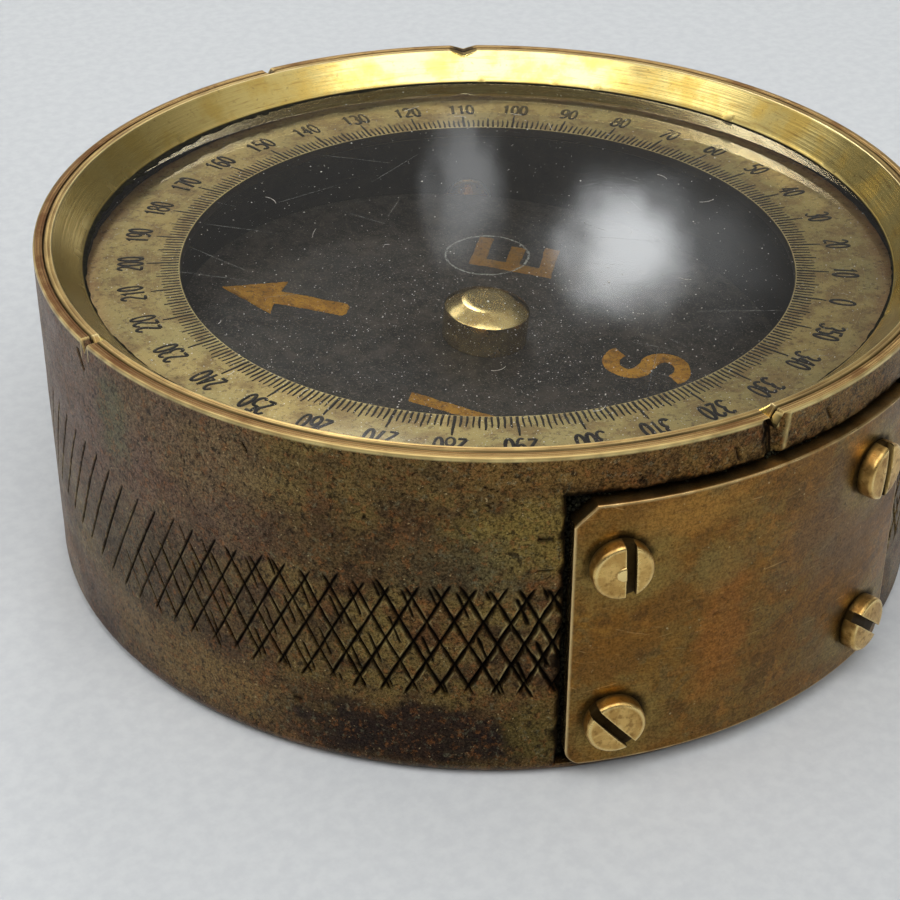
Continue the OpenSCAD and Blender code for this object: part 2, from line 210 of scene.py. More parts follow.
# ------------------------------------------------------------------ node helpers
class Nodes:
    """Short names for building a procedural material. Coordinates are millimetres."""

    def __init__(self, name):
        self.mat = bpy.data.materials.new(name)
        self.mat.use_nodes = True
        self.nt = self.mat.node_tree
        self.nt.nodes.clear()
        self.out = self.new("ShaderNodeOutputMaterial")
        self.bsdf = self.new("ShaderNodeBsdfPrincipled")
        self.link(self.bsdf.outputs[0], self.out.inputs[0])
        tc = self.new("ShaderNodeTexCoord")
        sc = self.new("ShaderNodeVectorMath", operation="SCALE")
        self.link(tc.outputs["Object"], sc.inputs[0])
        sc.inputs["Scale"].default_value = 1000.0
        self.P = sc.outputs[0]
        sep = self.new("ShaderNodeSeparateXYZ")
        self.link(self.P, sep.inputs[0])
        self.x, self.y, self.z = sep.outputs

    def new(self, kind, **props):
        n = self.nt.nodes.new(kind)
        for k, v in props.items():
            setattr(n, k, v)
        return n

    def link(self, a, b):
        self.nt.links.new(a, b)

    def put(self, sock, v):
        if isinstance(v, bpy.types.NodeSocket):
            self.link(v, sock)
        elif v is not None:
            if sock.type == "RGBA" and len(v) == 3:
                v = (*v, 1.0)
            sock.default_value = v

    def stretch(self, sx, sy, sz, vec=None, shift=(0, 0, 0)):
        n = self.new("ShaderNodeMapping")
        self.link(vec or self.P, n.inputs["Vector"])
        n.inputs["Scale"].default_value = (sx, sy, sz)
        n.inputs["Location"].default_value = shift
        return n.outputs[0]

    def noise(self, scale, detail=4.0, rough=0.55, vec=None, distortion=0.0):
        n = self.new("ShaderNodeTexNoise")
        self.link(vec or self.P, n.inputs["Vector"])
        n.inputs["Scale"].default_value = scale
        n.inputs["Detail"].default_value = detail
        n.inputs["Roughness"].default_value = rough
        n.inputs["Distortion"].default_value = distortion
        return n.outputs["Fac"]

    def noise1(self, w, scale, detail=3.0, rough=0.6):
        n = self.new("ShaderNodeTexNoise", noise_dimensions="1D")
        self.link(w, n.inputs["W"])
        n.inputs["Scale"].default_value = scale
        n.inputs["Detail"].default_value = detail
        n.inputs["Roughness"].default_value = rough
        return n.outputs["Fac"]

    def voronoi(self, scale, vec=None, feature="F1"):
        n = self.new("ShaderNodeTexVoronoi", feature=feature)
        self.link(vec or self.P, n.inputs["Vector"])
        n.inputs["Scale"].default_value = scale
        return n.outputs["Distance"]

    def math(self, op, a, b=None, clamp=False):
        n = self.new("ShaderNodeMath", operation=op, use_clamp=clamp)
        self.put(n.inputs[0], a)
        if b is not None:
            self.put(n.inputs[1], b)
        return n.outputs[0]

    def span(self, v, lo, hi, a=0.0, b=1.0):
        """Maps v from lo..hi to a..b, smoothly and clamped."""
        n = self.new("ShaderNodeMapRange", interpolation_type="SMOOTHSTEP")
        self.put(n.inputs["Value"], v)
        n.inputs["From Min"].default_value = lo
        n.inputs["From Max"].default_value = hi
        n.inputs["To Min"].default_value = a
        n.inputs["To Max"].default_value = b
        return n.outputs["Result"]

    def mix(self, fac, a, b, blend="MIX"):
        n = self.new("ShaderNodeMix", data_type="RGBA", blend_type=blend)
        self.put(n.inputs[0], fac)
        self.put(n.inputs[6], a)
        self.put(n.inputs[7], b)
        return n.outputs[2]

    def lerp(self, fac, a, b):
        n = self.new("ShaderNodeMix", data_type="FLOAT")
        self.put(n.inputs[0], fac)
        self.put(n.inputs[2], a)
        self.put(n.inputs[3], b)
        return n.outputs[0]

    def attr(self, name):
        return self.new("ShaderNodeAttribute", attribute_name=name).outputs["Fac"]

    def radius(self):
        n = self.new("ShaderNodeVectorMath", operation="LENGTH")
        c = self.new("ShaderNodeCombineXYZ")
        self.link(self.x, c.inputs[0])
        self.link(self.y, c.inputs[1])
        self.link(c.outputs[0], n.inputs[0])
        return n.outputs["Value"]

    def toward(self, az):
        """x along the given azimuth."""
        a = math.radians(az)
        return self.math("ADD", self.math("MULTIPLY", self.x, math.cos(a)), self.math("MULTIPLY", self.y, math.sin(a)))

    def bump(self, height, distance, strength=1.0, normal=None):
        n = self.new("ShaderNodeBump")
        n.inputs["Strength"].default_value = strength
        n.inputs["Distance"].default_value = distance
        self.link(height, n.inputs["Height"])
        if normal is not None:
            self.link(normal, n.inputs["Normal"])
        return n.outputs[0]

    def grey(self, v):
        n = self.new("ShaderNodeCombineColor")
        for i in range(3):
            self.link(v, n.inputs[i])
        return n.outputs[0]

    def spot(self, az, z, ra, rz, seed):
        """A soft-edged stain on the drum, ra by rz in size, round the given azimuth and height."""
        a = math.radians(az)
        t = self.math("ADD", self.math("MULTIPLY", self.x, -math.sin(a)), self.math("MULTIPLY", self.y, math.cos(a)))
        u = self.math("DIVIDE", t, ra)
        v = self.math("DIVIDE", self.math("SUBTRACT", self.z, z), rz)
        d = self.math("SQRT", self.math("ADD", self.math("MULTIPLY", u, u), self.math("MULTIPLY", v, v)))
        n = self.noise(0.45, 5, 0.6, vec=self.stretch(1, 1, 1.4, shift=(seed, seed * 2, seed * 3)))
        d = self.math("ADD", d, self.math("MULTIPLY", self.math("SUBTRACT", n, 0.5), 1.7))
        return self.math("MULTIPLY", self.span(d, 1.25, 0.45), self.span(self.toward(az), 8.0, 16.0))

    def set(self, **k):
        names = {"color": "Base Color", "metal": "Metallic", "rough": "Roughness", "normal": "Normal",
                 "ior": "IOR", "alpha": "Alpha", "transmission": "Transmission Weight", "coat": "Coat Weight",
                 "coat_rough": "Coat Roughness", "specular": "Specular IOR Level", "coat_ior": "Coat IOR",
                 "sss": "Subsurface Weight", "aniso": "Anisotropic"}
        for key, v in k.items():
            self.put(self.bsdf.inputs[names[key]], v)
        return self.mat


def srgb(r, g, b):
    f = lambda c: c / 12.92 if c <= 0.04045 else ((c + 0.055) / 1.055) ** 2.4
    return tuple(f(x / 255.0) for x in (r, g, b))


# ------------------------------------------------------------------ materials
def wall_material():
    m = Nodes("patinated_brass_wall")
    big = m.noise(0.085, 4, 0.5, distortion=0.5)
    mid = m.noise(0.30, 6, 0.62, vec=m.stretch(1, 1, 1.3))
    fine = m.noise(2.6, 4, 0.65)
    lines = m.noise(1.0, 4, 0.6, vec=m.stretch(0.10, 0.10, 3.6))
    hair = m.noise(1.0, 3, 0.6, vec=m.stretch(0.3, 0.3, 9))
    pits = m.noise(2.3, 7, 0.78, distortion=0.4)
    grain = m.noise(6.0, 5, 0.8)
    blot = m.noise(0.22, 8, 0.66, vec=m.stretch(1, 1, 1.4, shift=(3, 6, 2)), distortion=0.6)
    c = m.mix(m.span(big, 0.38, 0.62), srgb(88, 68, 42), srgb(106, 88, 50))
    c = m.mix(m.span(mid, 0.44, 0.58, 0.0, 0.8), c, srgb(68, 52, 36))
    c = m.mix(m.span(blot, 0.52, 0.58, 0.0, 0.55), c, srgb(116, 98, 54))
    c = m.mix(m.span(m.noise(0.25, 7, 0.66, vec=m.stretch(1, 1, 1.3, shift=(9, 2, 5))), 0.54, 0.61, 0.0, 0.5), c, srgb(100, 64, 38))
    # greener and lighter from the knurl's right end up, darker and speckled in the middle
    c = m.mix(m.math("MULTIPLY", m.spot(-119, 18.0, 5.5, 3.0, 9), 0.7), c, srgb(124, 106, 54))
    c = m.mix(m.math("MULTIPLY", m.spot(-127, 16.2, 5.0, 2.4, 14), 0.6), c, srgb(78, 76, 56))
    c = m.mix(m.math("MULTIPLY", m.spot(-139, 16.6, 9.0, 3.2, 12), 0.65), c, srgb(74, 56, 38))
    c = m.mix(m.math("MULTIPLY", m.spot(-158, 20.5, 9.0, 3.0, 8), 0.7), c, srgb(116, 98, 58))
    c = m.mix(m.math("MULTIPLY", m.spot(-135, 21.6, 9.0, 1.6, 16), 0.5), c, srgb(102, 84, 50))
    # redder and orange below the knurl, with dark stains
    low = m.math("MULTIPLY", m.span(m.z, 6.0, 3.8), m.span(m.noise(0.17, 4, 0.55), 0.36, 0.58))
    c = m.mix(m.math("MULTIPLY", low, 0.75), c, srgb(122, 86, 50))
    dark_low = m.math("MULTIPLY", m.span(m.z, 6.0, 3.2), m.span(m.noise(0.12, 3, 0.5, vec=m.stretch(1, 1, 1, shift=(11, 5, 3))), 0.42, 0.56))
    c = m.mix(m.math("MULTIPLY", dark_low, 0.7), c, srgb(52, 40, 33))
    c = m.mix(m.math("MULTIPLY", m.spot(-131, 3.0, 10.0, 2.8, 3), 0.9), c, srgb(34, 27, 25))
    c = m.mix(m.math("MULTIPLY", m.spot(-162, 3.4, 9.0, 2.6, 5), 0.8), c, srgb(122, 100, 58))
    c = m.mix(m.math("MULTIPLY", m.spot(-116, 3.6, 3.0, 3.0, 6), 0.7), c, srgb(100, 86, 44))
    # brown under the rim by the side plate
    under = m.math("MULTIPLY", m.span(m.toward(-92), 24.0, 28.5), m.span(m.z, 20.4, 21.6))
    c = m.mix(m.math("MULTIPLY", under, m.span(mid, 0.34, 0.6, 0.9, 0.4)), c, srgb(108, 80, 42))
    # mauve-brown side toward azimuth 172
    side = m.span(m.toward(172), 20.0, 31.0)
    side = m.math("MULTIPLY", side, m.span(m.z, 9.0, 17.0, 0.35, 1.0))
    c = m.mix(m.math("MULTIPLY", side, m.span(m.noise(0.2, 3, 0.5, vec=m.stretch(1, 1, 0.5)), 0.3, 0.6, 0.35, 0.95)), c, srgb(108, 87, 74))
    c = m.mix(m.math("MULTIPLY", m.spot(-168, 10.0, 8.0, 4.5, 18), 0.6), c, srgb(74, 64, 46))
    c = m.mix(m.math("MULTIPLY", m.spot(-172, 19.5, 2.0, 3.4, 13), 0.6), c, srgb(84, 88, 58))
    # streaks, pits and grain
    c = m.mix(m.span(lines, 0.52, 0.75, 0.0, 0.3), c, srgb(56, 42, 28))
    c = m.mix(m.span(hair, 0.62, 0.8, 0.0, 0.25), c, srgb(150, 128, 84))
    c = m.mix(m.span(m.noise(1.7, 7, 0.76, vec=m.stretch(1, 1, 1, shift=(1, 7, 4))), 0.54, 0.60, 0.0, 0.55), c, srgb(122, 78, 42))
    c = m.mix(m.span(m.noise(2.1, 7, 0.76, vec=m.stretch(1, 1, 1, shift=(6, 3, 8))), 0.56, 0.62, 0.0, 0.5), c, srgb(104, 102, 80))
    c = m.mix(m.span(pits, 0.52, 0.60, 0.0, 0.8), c, srgb(34, 27, 20))
    c = m.mix(1.0, c, m.grey(m.span(grain, 0.37, 0.63, 0.50, 1.85)), "MULTIPLY")
    specks = m.span(m.noise(5.0, 2, 0.5), 0.69, 0.74, 0.0, 0.7)
    c = m.mix(specks, c, srgb(190, 168, 122))
    # the top of the rim, turned in fine ridges
    r = m.radius()
    ridge = m.noise1(r, 15.0, 2)
    rim = m.mix(m.span(ridge, 0.42, 0.56), srgb(128, 90, 50), srgb(212, 180, 118))
    rim = m.mix(m.span(mid, 0.48, 0.62, 0.0, 0.7), rim, srgb(122, 82, 46))
    # painted shade: the rim's top is mixed darker brown toward azimuth 165, its left side
    rim = m.mix(m.span(m.toward(165), 14.0, 28.0, 0.0, 0.6), rim, srgb(112, 74, 46))
    c = m.mix(m.span(m.z, 23.66, 23.74), c, rim)
    # the groove mask darkens dents, joints and dirt, and is also painted shade in the knurl's grooves, the gap round
    # the side plate and the scoop; the worn mask brightens wear, and is also a painted highlight along the knurl's
    # burrs and the scoop's edge
    groove, wear_and_highlight = m.attr("groove"), m.attr("wear_and_highlight")
    c = m.mix(wear_and_highlight, c, srgb(240, 218, 150))
    c = m.mix(groove, c, srgb(16, 12, 9))
    rough = m.span(mid, 0.3, 0.7, 0.36, 0.50)
    rough = m.lerp(wear_and_highlight, rough, 0.25)
    rough = m.lerp(groove, rough, 0.75)
    h = m.math("ADD", m.math("MULTIPLY", pits, 0.9), m.math("MULTIPLY", grain, 0.45))
    h = m.math("ADD", h, m.math("MULTIPLY", lines, 0.3))
    return m.set(color=c, metal=1.0, rough=rough, normal=m.bump(h, 0.00005, 0.8))


def plate_material():
    m = Nodes("brushed_brass_plate")
    big = m.noise(0.10, 4, 0.5, distortion=0.5)
    mid = m.noise(0.24, 6, 0.64, vec=m.stretch(1, 1, 1.3, shift=(7, 3, 2)))
    fine = m.noise(2.4, 6, 0.72)
    lump = m.noise(0.8, 4, 0.55)
    brush = m.noise(1.0, 4, 0.6, vec=m.stretch(0.2, 0.2, 5.0))
    hair = m.noise(1.0, 2, 0.5, vec=m.stretch(0.4, 0.4, 16))
    c = m.mix(m.span(big, 0.42, 0.56), srgb(136, 98, 44), srgb(120, 93, 48))
    c = m.mix(m.span(m.noise(0.34, 8, 0.7, vec=m.stretch(1, 1, 1.15, shift=(5, 1, 7)), distortion=0.8), 0.49, 0.545, 0.0, 0.7), c, srgb(112, 92, 54))
    c = m.mix(m.span(mid, 0.47, 0.54, 0.0, 0.65), c, srgb(122, 84, 38))
    c = m.mix(m.span(m.noise(0.42, 8, 0.7, vec=m.stretch(1, 1, 1, shift=(2, 8, 9)), distortion=0.6), 0.53, 0.58, 0.0, 0.55), c, srgb(88, 64, 36))
    c = m.mix(m.span(m.noise(0.55, 7, 0.7, vec=m.stretch(1, 1, 1, shift=(8, 5, 1))), 0.55, 0.60, 0.0, 0.5), c, srgb(150, 104, 48))
    c = m.mix(m.math("MULTIPLY", m.spot(-101, 19.0, 4.5, 1.6, 4), 0.7), c, srgb(158, 116, 56))
    c = m.mix(m.math("MULTIPLY", m.spot(-96, 10.0, 2.0, 6.5, 7), 0.5), c, srgb(152, 98, 46))
    c = m.mix(m.math("MULTIPLY", m.spot(-97, 14.6, 2.0, 1.8, 19), 0.6), c, srgb(126, 108, 62))
    c = m.mix(m.math("MULTIPLY", m.spot(-78, 14.0, 6.0, 5.0, 11), 0.6), c, srgb(108, 86, 62))
    # paler brass round the screws
    for k, (a0, zc, q, off) in enumerate(SCREWS):
        c = m.mix(m.math("MULTIPLY", m.spot(a0 + 1.0, zc - 0.3, 3.7, 3.2, 21 + 3 * k), 0.7), c, srgb(136, 116, 64))
    c = m.mix(m.span(brush, 0.50, 0.74, 0.0, 0.3), c, srgb(84, 56, 30))
    c = m.mix(m.span(hair, 0.62, 0.8, 0.0, 0.25), c, srgb(190, 154, 100))
    c = m.mix(m.span(fine, 0.54, 0.66, 0.0, 0.5), c, srgb(78, 54, 30))
    c = m.mix(m.span(m.noise(3.4, 2, 0.5), 0.71, 0.75, 0.0, 0.7), c, srgb(46, 34, 20))
    c = m.mix(m.span(m.noise(3.0, 2, 0.5, vec=m.stretch(1, 1, 1, shift=(4, 4, 2))), 0.72, 0.77, 0.0, 0.5), c, srgb(186, 170, 130))
    grain = m.noise(6.0, 4, 0.75)
    c = m.mix(1.0, c, m.grey(m.span(grain, 0.34, 0.66, 0.68, 1.36)), "MULTIPLY")
    # thin pale scratches in two directions
    for turned, sh in ((0.5, 3), (-0.9, 9)):
        r1 = m.new("ShaderNodeVectorRotate", rotation_type="X_AXIS")
        m.link(m.P, r1.inputs["Vector"])
        r1.inputs["Angle"].default_value = turned
        ln = m.noise(1.0, 2, 0.5, vec=m.stretch(0.35, 0.35, 9.0, vec=r1.outputs[0], shift=(sh, sh, sh)))
        c = m.mix(m.span(ln, 0.70, 0.76, 0.0, 0.35), c, srgb(206, 170, 112))
    darkening, wear_and_highlight = m.attr("groove"), m.attr("wear_and_highlight")
    c = m.mix(wear_and_highlight, c, srgb(240, 210, 150))
    c = m.mix(darkening, c, srgb(24, 18, 10))
    rough = m.lerp(darkening, m.lerp(wear_and_highlight, m.span(mid, 0.3, 0.7, 0.28, 0.42), 0.22), 0.7)
    h = m.math("ADD", m.math("MULTIPLY", brush, 0.4), m.math("MULTIPLY", grain, 0.35))
    h = m.math("ADD", h, m.math("MULTIPLY", lump, 1.6))
    return m.set(color=c, metal=1.0, rough=rough, normal=m.bump(h, 0.00003, 0.7))


def bezel_material():
    m = Nodes("polished_brass_rim")
    r = m.radius()
    tool = m.noise1(r, 9.0, 3)
    mid = m.noise(0.35, 5, 0.6)
    streak = m.noise(1.0, 4, 0.6, vec=m.stretch(0.35, 0.35, 6.0))
    fine = m.noise(3.0, 4, 0.6)
    flat = m.span(r, 29.70, 29.80)
    bright = m.mix(m.span(mid, 0.4, 0.65), srgb(244, 222, 144), srgb(230, 198, 108))
    bright = m.mix(m.span(streak, 0.52, 0.72, 0.0, 0.45), bright, srgb(170, 128, 62))
    # painted shade: the bevel's left side, toward azimuth 150, is mixed toward a darker, duller khaki
    left = m.span(m.toward(150), 12.0, 27.0)
    bright = m.mix(m.math("MULTIPLY", left, 0.7), bright, srgb(186, 166, 104))
    top = m.mix(m.span(mid, 0.4, 0.62), srgb(186, 156, 98), srgb(146, 114, 68))
    top = m.mix(m.span(m.noise1(r, 15.0, 2), 0.46, 0.6, 0.0, 0.7), top, srgb(222, 196, 134))
    c = m.mix(flat, bright, top)
    c = m.mix(m.span(fine, 0.60, 0.75, 0.0, 0.4), c, srgb(120, 84, 44))
    wear_and_highlight, groove = m.attr("wear_and_highlight"), m.attr("groove")
    c = m.mix(wear_and_highlight, c, srgb(252, 236, 176))
    c = m.mix(groove, c, srgb(26, 18, 10))
    rough = m.lerp(flat, m.lerp(left, m.span(mid, 0.3, 0.7, 0.13, 0.24), 0.27), 0.34)
    rough = m.lerp(groove, rough, 0.7)
    h = m.math("ADD", m.math("MULTIPLY", tool, 0.6), m.math("MULTIPLY", fine, 0.25))
    return m.set(color=c, metal=1.0, rough=rough, normal=m.bump(h, 0.00002, 0.45))


def ring_material():
    m = Nodes("satin_brass_degree_ring")
    r = m.radius()
    tool = m.noise1(r, 14.0, 3)
    big = m.noise(0.16, 4, 0.55)
    mid = m.noise(0.6, 6, 0.62)
    fine = m.noise(3.4, 4, 0.6)
    c = m.mix(m.span(big, 0.38, 0.62), srgb(188, 166, 104), srgb(172, 156, 100))
    c = m.mix(m.span(mid, 0.44, 0.62, 0.0, 0.8), c, srgb(148, 122, 74))
    c = m.mix(m.span(tool, 0.5, 0.75, 0.0, 0.3), c, srgb(214, 184, 112))
    c = m.mix(m.span(r, 26.2, 28.2, 0.0, 0.5), c, srgb(194, 132, 84))
    c = m.mix(m.span(m.noise(2.6, 7, 0.76), 0.53, 0.62, 0.0, 0.65), c, srgb(96, 76, 46))
    c = m.mix(m.span(m.noise(5.0, 3, 0.6), 0.62, 0.70, 0.0, 0.55), c, srgb(218, 208, 176))
    c = m.mix(m.span(m.noise(4.0, 3, 0.6, vec=m.stretch(1, 1, 1, shift=(3, 3, 3))), 0.66, 0.72, 0.0, 0.7), c, srgb(52, 42, 28))
    # painted highlight: on this ring the worn mask is only the bright line along the inner edge of its top
    c = m.mix(m.attr("wear_and_highlight"), c, srgb(244, 226, 168))
    c = m.mix(m.attr("groove"), c, srgb(40, 32, 22))
    h = m.math("ADD", m.math("MULTIPLY", tool, 0.5), m.math("MULTIPLY", fine, 0.5))
    return m.set(color=c, metal=0.65, rough=m.span(mid, 0.3, 0.7, 0.38, 0.52), normal=m.bump(h, 0.00002, 0.5))


def inlay_material():
    m = Nodes("black_filled_engraving")
    n = m.noise(3.0, 4, 0.6)
    c = m.mix(m.span(n, 0.47, 0.7, 0.0, 0.7), srgb(12, 10, 10), srgb(66, 50, 36))
    return m.set(color=c, metal=0.0, rough=m.span(n, 0.3, 0.7, 0.45, 0.7), specular=0.3, normal=m.bump(n, 0.00001, 0.5))


def bright_brass(name, base, dark, rough=(0.16, 0.3), streak=6.0):
    m = Nodes(name)
    mid = m.noise(0.9, 6, 0.62)
    fine = m.noise(5.0, 4, 0.6)
    line = m.noise(1.0, 4, 0.6, vec=m.stretch(streak, 0.6, streak))
    c = m.mix(m.span(mid, 0.42, 0.66, 0.0, 0.8), base, dark)
    c = m.mix(m.span(fine, 0.58, 0.74, 0.0, 0.35), c, tuple(0.4 * x for x in dark))
    c = m.mix(m.span(line, 0.55, 0.75, 0.0, 0.25), c, tuple(min(1.0, 1.25 * x) for x in base))
    wear_and_highlight, groove = m.attr("wear_and_highlight"), m.attr("groove")
    c = m.mix(wear_and_highlight, c, srgb(255, 240, 186))
    c = m.mix(groove, c, srgb(30, 21, 11))
    r = m.lerp(groove, m.span(mid, 0.3, 0.7, *rough), 0.7)
    h = m.math("ADD", m.math("MULTIPLY", line, 0.5), m.math("MULTIPLY", fine, 0.4))
    return m.set(color=c, metal=1.0, rough=r, normal=m.bump(h, 0.00002, 0.5))


def screw_material():
    """Old turned brass: polished patches between brown film, most worn at the head's edge."""
    m = Nodes("worn_screw_brass")
    big = m.noise(0.7, 4, 0.6, distortion=0.6)
    mid = m.noise(1.8, 6, 0.66)
    fine = m.noise(6.0, 4, 0.65)
    c = m.mix(m.span(big, 0.40, 0.60), srgb(214, 178, 108), srgb(186, 148, 84))
    c = m.mix(m.span(mid, 0.50, 0.64, 0.0, 0.7), c, srgb(138, 102, 54))
    c = m.mix(m.span(fine, 0.58, 0.72, 0.0, 0.45), c, srgb(84, 60, 32))
    c = m.mix(m.span(mid, 0.42, 0.34, 0.0, 0.6), c, srgb(212, 178, 104))
    wear_and_highlight, groove = m.attr("wear_and_highlight"), m.attr("groove")
    c = m.mix(wear_and_highlight, c, srgb(246, 220, 150))
    c = m.mix(groove, c, srgb(26, 18, 9))
    r = m.lerp(groove, m.lerp(wear_and_highlight, m.span(mid, 0.3, 0.7, 0.26, 0.44), 0.2), 0.7)
    h = m.math("ADD", m.math("MULTIPLY", mid, 0.6), m.math("MULTIPLY", fine, 0.4))
    return m.set(color=c, metal=1.0, rough=r, normal=m.bump(h, 0.00003, 0.6))


def steel_material(name, base, rough=(0.2, 0.35)):
    m = Nodes(name)
    mid = m.noise(0.8, 5, 0.6)
    line = m.noise(1.0, 4, 0.6, vec=m.stretch(0.6, 0.6, 9.0))
    c = m.mix(m.span(mid, 0.4, 0.66), base, tuple(0.62 * x for x in base))
    c = m.mix(m.span(m.noise(2.4, 3, 0.6), 0.62, 0.72, 0.0, 0.6), c, srgb(96, 70, 50))
    return m.set(color=c, metal=1.0, rough=m.span(mid, 0.3, 0.7, *rough), normal=m.bump(line, 0.00002, 0.5))


def card_material():
    m = Nodes("black_lacquered_card")
    big = m.noise(0.15, 5, 0.6)
    mid = m.noise(0.8, 6, 0.65)
    dust = m.noise(6.0, 3, 0.6)
    c = m.mix(m.span(big, 0.38, 0.60), srgb(30, 27, 25), srgb(54, 48, 42))
    c = m.mix(m.span(mid, 0.48, 0.62, 0.0, 0.7), c, srgb(20, 18, 17))
    c = m.mix(m.span(dust, 0.54, 0.66, 0.0, 0.6), c, srgb(118, 108, 92))
    c = m.mix(m.span(m.noise(1.3, 7, 0.76), 0.55, 0.63, 0.0, 0.5), c, srgb(92, 84, 72))
    c = m.mix(m.span(m.noise(0.32, 6, 0.66, distortion=0.8), 0.54, 0.64, 0.0, 0.45), c, srgb(84, 76, 66))
    return m.set(color=c, metal=0.0, rough=m.span(mid, 0.3, 0.7, 0.44, 0.6), specular=0.3,
                 normal=m.bump(m.math("ADD", mid, m.math("MULTIPLY", dust, 0.4)), 0.00003, 0.4))


def paint_material():
    m = Nodes("ochre_luminous_paint")
    mid = m.noise(0.9, 6, 0.65)
    fine = m.noise(5.0, 4, 0.6)
    c = m.mix(m.span(mid, 0.4, 0.62), srgb(204, 148, 30), srgb(170, 118, 22))
    c = m.mix(m.span(fine, 0.52, 0.66, 0.0, 0.65), c, srgb(104, 68, 20))
    c = m.mix(m.span(m.noise(2.6, 6, 0.7), 0.56, 0.62, 0.0, 0.6), c, srgb(70, 50, 26))
    east = m.span(m.toward(45.7), 6.5, 8.5)
    c = m.mix(m.math("MULTIPLY", east, m.span(mid, 0.34, 0.56, 0.75, 0.45)), c, srgb(84, 60, 26))
    return m.set(color=c, metal=0.0, rough=m.span(mid, 0.3, 0.7, 0.5, 0.7), specular=0.35,
                 normal=m.bump(m.math("ADD", mid, fine), 0.00004, 0.6))


def dark_material(name, a, b, rough=(0.6, 0.85), scale=3.0):
    m = Nodes(name)
    n = m.noise(scale, 5, 0.65)
    f = m.noise(scale * 3, 4, 0.65)
    c = m.mix(m.span(n, 0.42, 0.66), a, b)
    return m.set(color=c, metal=0.0, rough=m.span(f, 0.3, 0.7, *rough), specular=0.08,
                 normal=m.bump(m.math("ADD", n, m.math("MULTIPLY", f, 0.5)), 0.00008, 0.7))


def well_material():
    m = Nodes("dark_well")
    n = m.noise(0.8, 5, 0.62)
    line = m.noise(1.0, 4, 0.6, vec=m.stretch(0.15, 0.15, 5.0))
    # the well's wall is coloured near black
    c = m.mix(m.span(n, 0.4, 0.66), srgb(34, 32, 28), srgb(52, 46, 38))
    c = m.mix(m.span(line, 0.58, 0.76, 0.0, 0.4), c, srgb(84, 70, 48))
    return m.set(color=c, metal=0.35, rough=m.span(n, 0.3, 0.7, 0.45, 0.62), normal=m.bump(line, 0.00003, 0.5))


def glass_material():
    """Clear glass that bends what is seen through it."""
    m = Nodes("cover_glass_clear")
    smear = m.noise(0.35, 5, 0.6, distortion=0.8)
    fine = m.noise(7.0, 3, 0.6)
    m.set(color=m.mix(m.span(smear, 0.4, 0.7), (0.985, 0.99, 0.975), (0.96, 0.97, 0.95)), metal=0.0, ior=1.5, transmission=1.0,
          rough=m.span(smear, 0.35, 0.7, 0.0, 0.012), normal=m.bump(m.math("ADD", smear, m.math("MULTIPLY", fine, 0.1)), 0.000004, 0.25))
    return m.mat


def dust_material():
    m = Nodes("dust_and_lint")
    n = m.noise(8.0, 3, 0.6)
    c = m.mix(m.span(n, 0.4, 0.65), srgb(222, 220, 214), srgb(176, 170, 160))
    return m.set(color=c, metal=0.0, rough=m.span(n, 0.3, 0.7, 0.7, 0.95), specular=0.3, normal=m.bump(n, 0.00001, 0.5))


def haze_material(name, colour, alpha_lo, alpha_hi, scale=3.0):
    m = Nodes(name)
    n = m.noise(scale, 4, 0.65)
    return m.set(color=colour, metal=0.0, rough=m.span(n, 0.3, 0.7, 0.45, 0.7), alpha=m.span(n, 0.35, 0.65, alpha_lo, alpha_hi),
                 specular=0.4, normal=m.bump(n, 0.00001, 0.4))


def jewel_material():
    m = Nodes("garnet_cap_jewel")
    n = m.noise(1.5, 3, 0.5)
    c = m.mix(m.span(n, 0.4, 0.6), srgb(150, 30, 28), srgb(110, 16, 20))
    return m.set(color=c, metal=0.0, rough=m.span(n, 0.3, 0.7, 0.06, 0.14), ior=1.75, normal=m.bump(n, 0.000003, 0.3))


MAT = {
    "wall": wall_material(), "plate": plate_material(), "bezel": bezel_material(), "ring": ring_material(),
    "inlay": inlay_material(), "card": card_material(), "paint": paint_material(), "well": well_material(),
    "glass": glass_material(), "dust": dust_material(), "jewel": jewel_material(),
    "screw": screw_material(),
    "cap": bright_brass("polished_cap_brass", srgb(240, 216, 150), srgb(200, 168, 104), (0.15, 0.28), 2.0),
    "inner": bright_brass("inner_brass", srgb(206, 168, 94), srgb(150, 114, 60), (0.22, 0.38)),
    "knob": bright_brass("knob_brass", srgb(198, 160, 88), srgb(134, 100, 52), (0.22, 0.4)),
    "base": bright_brass("base_brass", srgb(150, 116, 64), srgb(104, 76, 44), (0.3, 0.48), 1.2),
    "steel": steel_material("needle_steel", srgb(188, 190, 194)),
    "magnet": steel_material("magnet_steel", srgb(96, 98, 104), (0.3, 0.5)),
    "packing": dark_material("packing_cork", srgb(24, 20, 16), srgb(44, 36, 28)),
    "dark_fill": dark_material("dark_fill_and_painted_shadow", srgb(14, 13, 9), srgb(34, 34, 22), (0.55, 0.9), 4.0),
    # near black: a painted shadow in the side plate's gap, and the dark strip at the bevel's foot
    "edge": dark_material("dirty_ground_edge", srgb(20, 19, 12), srgb(46, 42, 26), (0.5, 0.85), 0.9),
    "wear_ring": haze_material("rubbed_ring_on_glass", srgb(206, 208, 200), 0.10, 0.55),
    "scratch": haze_material("glass_scratches", srgb(226, 228, 224), 0.1, 0.5),
}


def dress(ob, mat, body, slot, *nodes):
    ob.data.materials.clear()
    ob.data.materials.append(MAT[mat])
    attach(ob, body)
    if nodes:
        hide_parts(*nodes)
    return ob


def dress_cad(node, mat):
    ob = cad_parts[node]
    if ob.material_slots:
        for s in ob.material_slots:
            s.material = MAT[mat]
    else:
        ob.data.materials.append(MAT[mat])


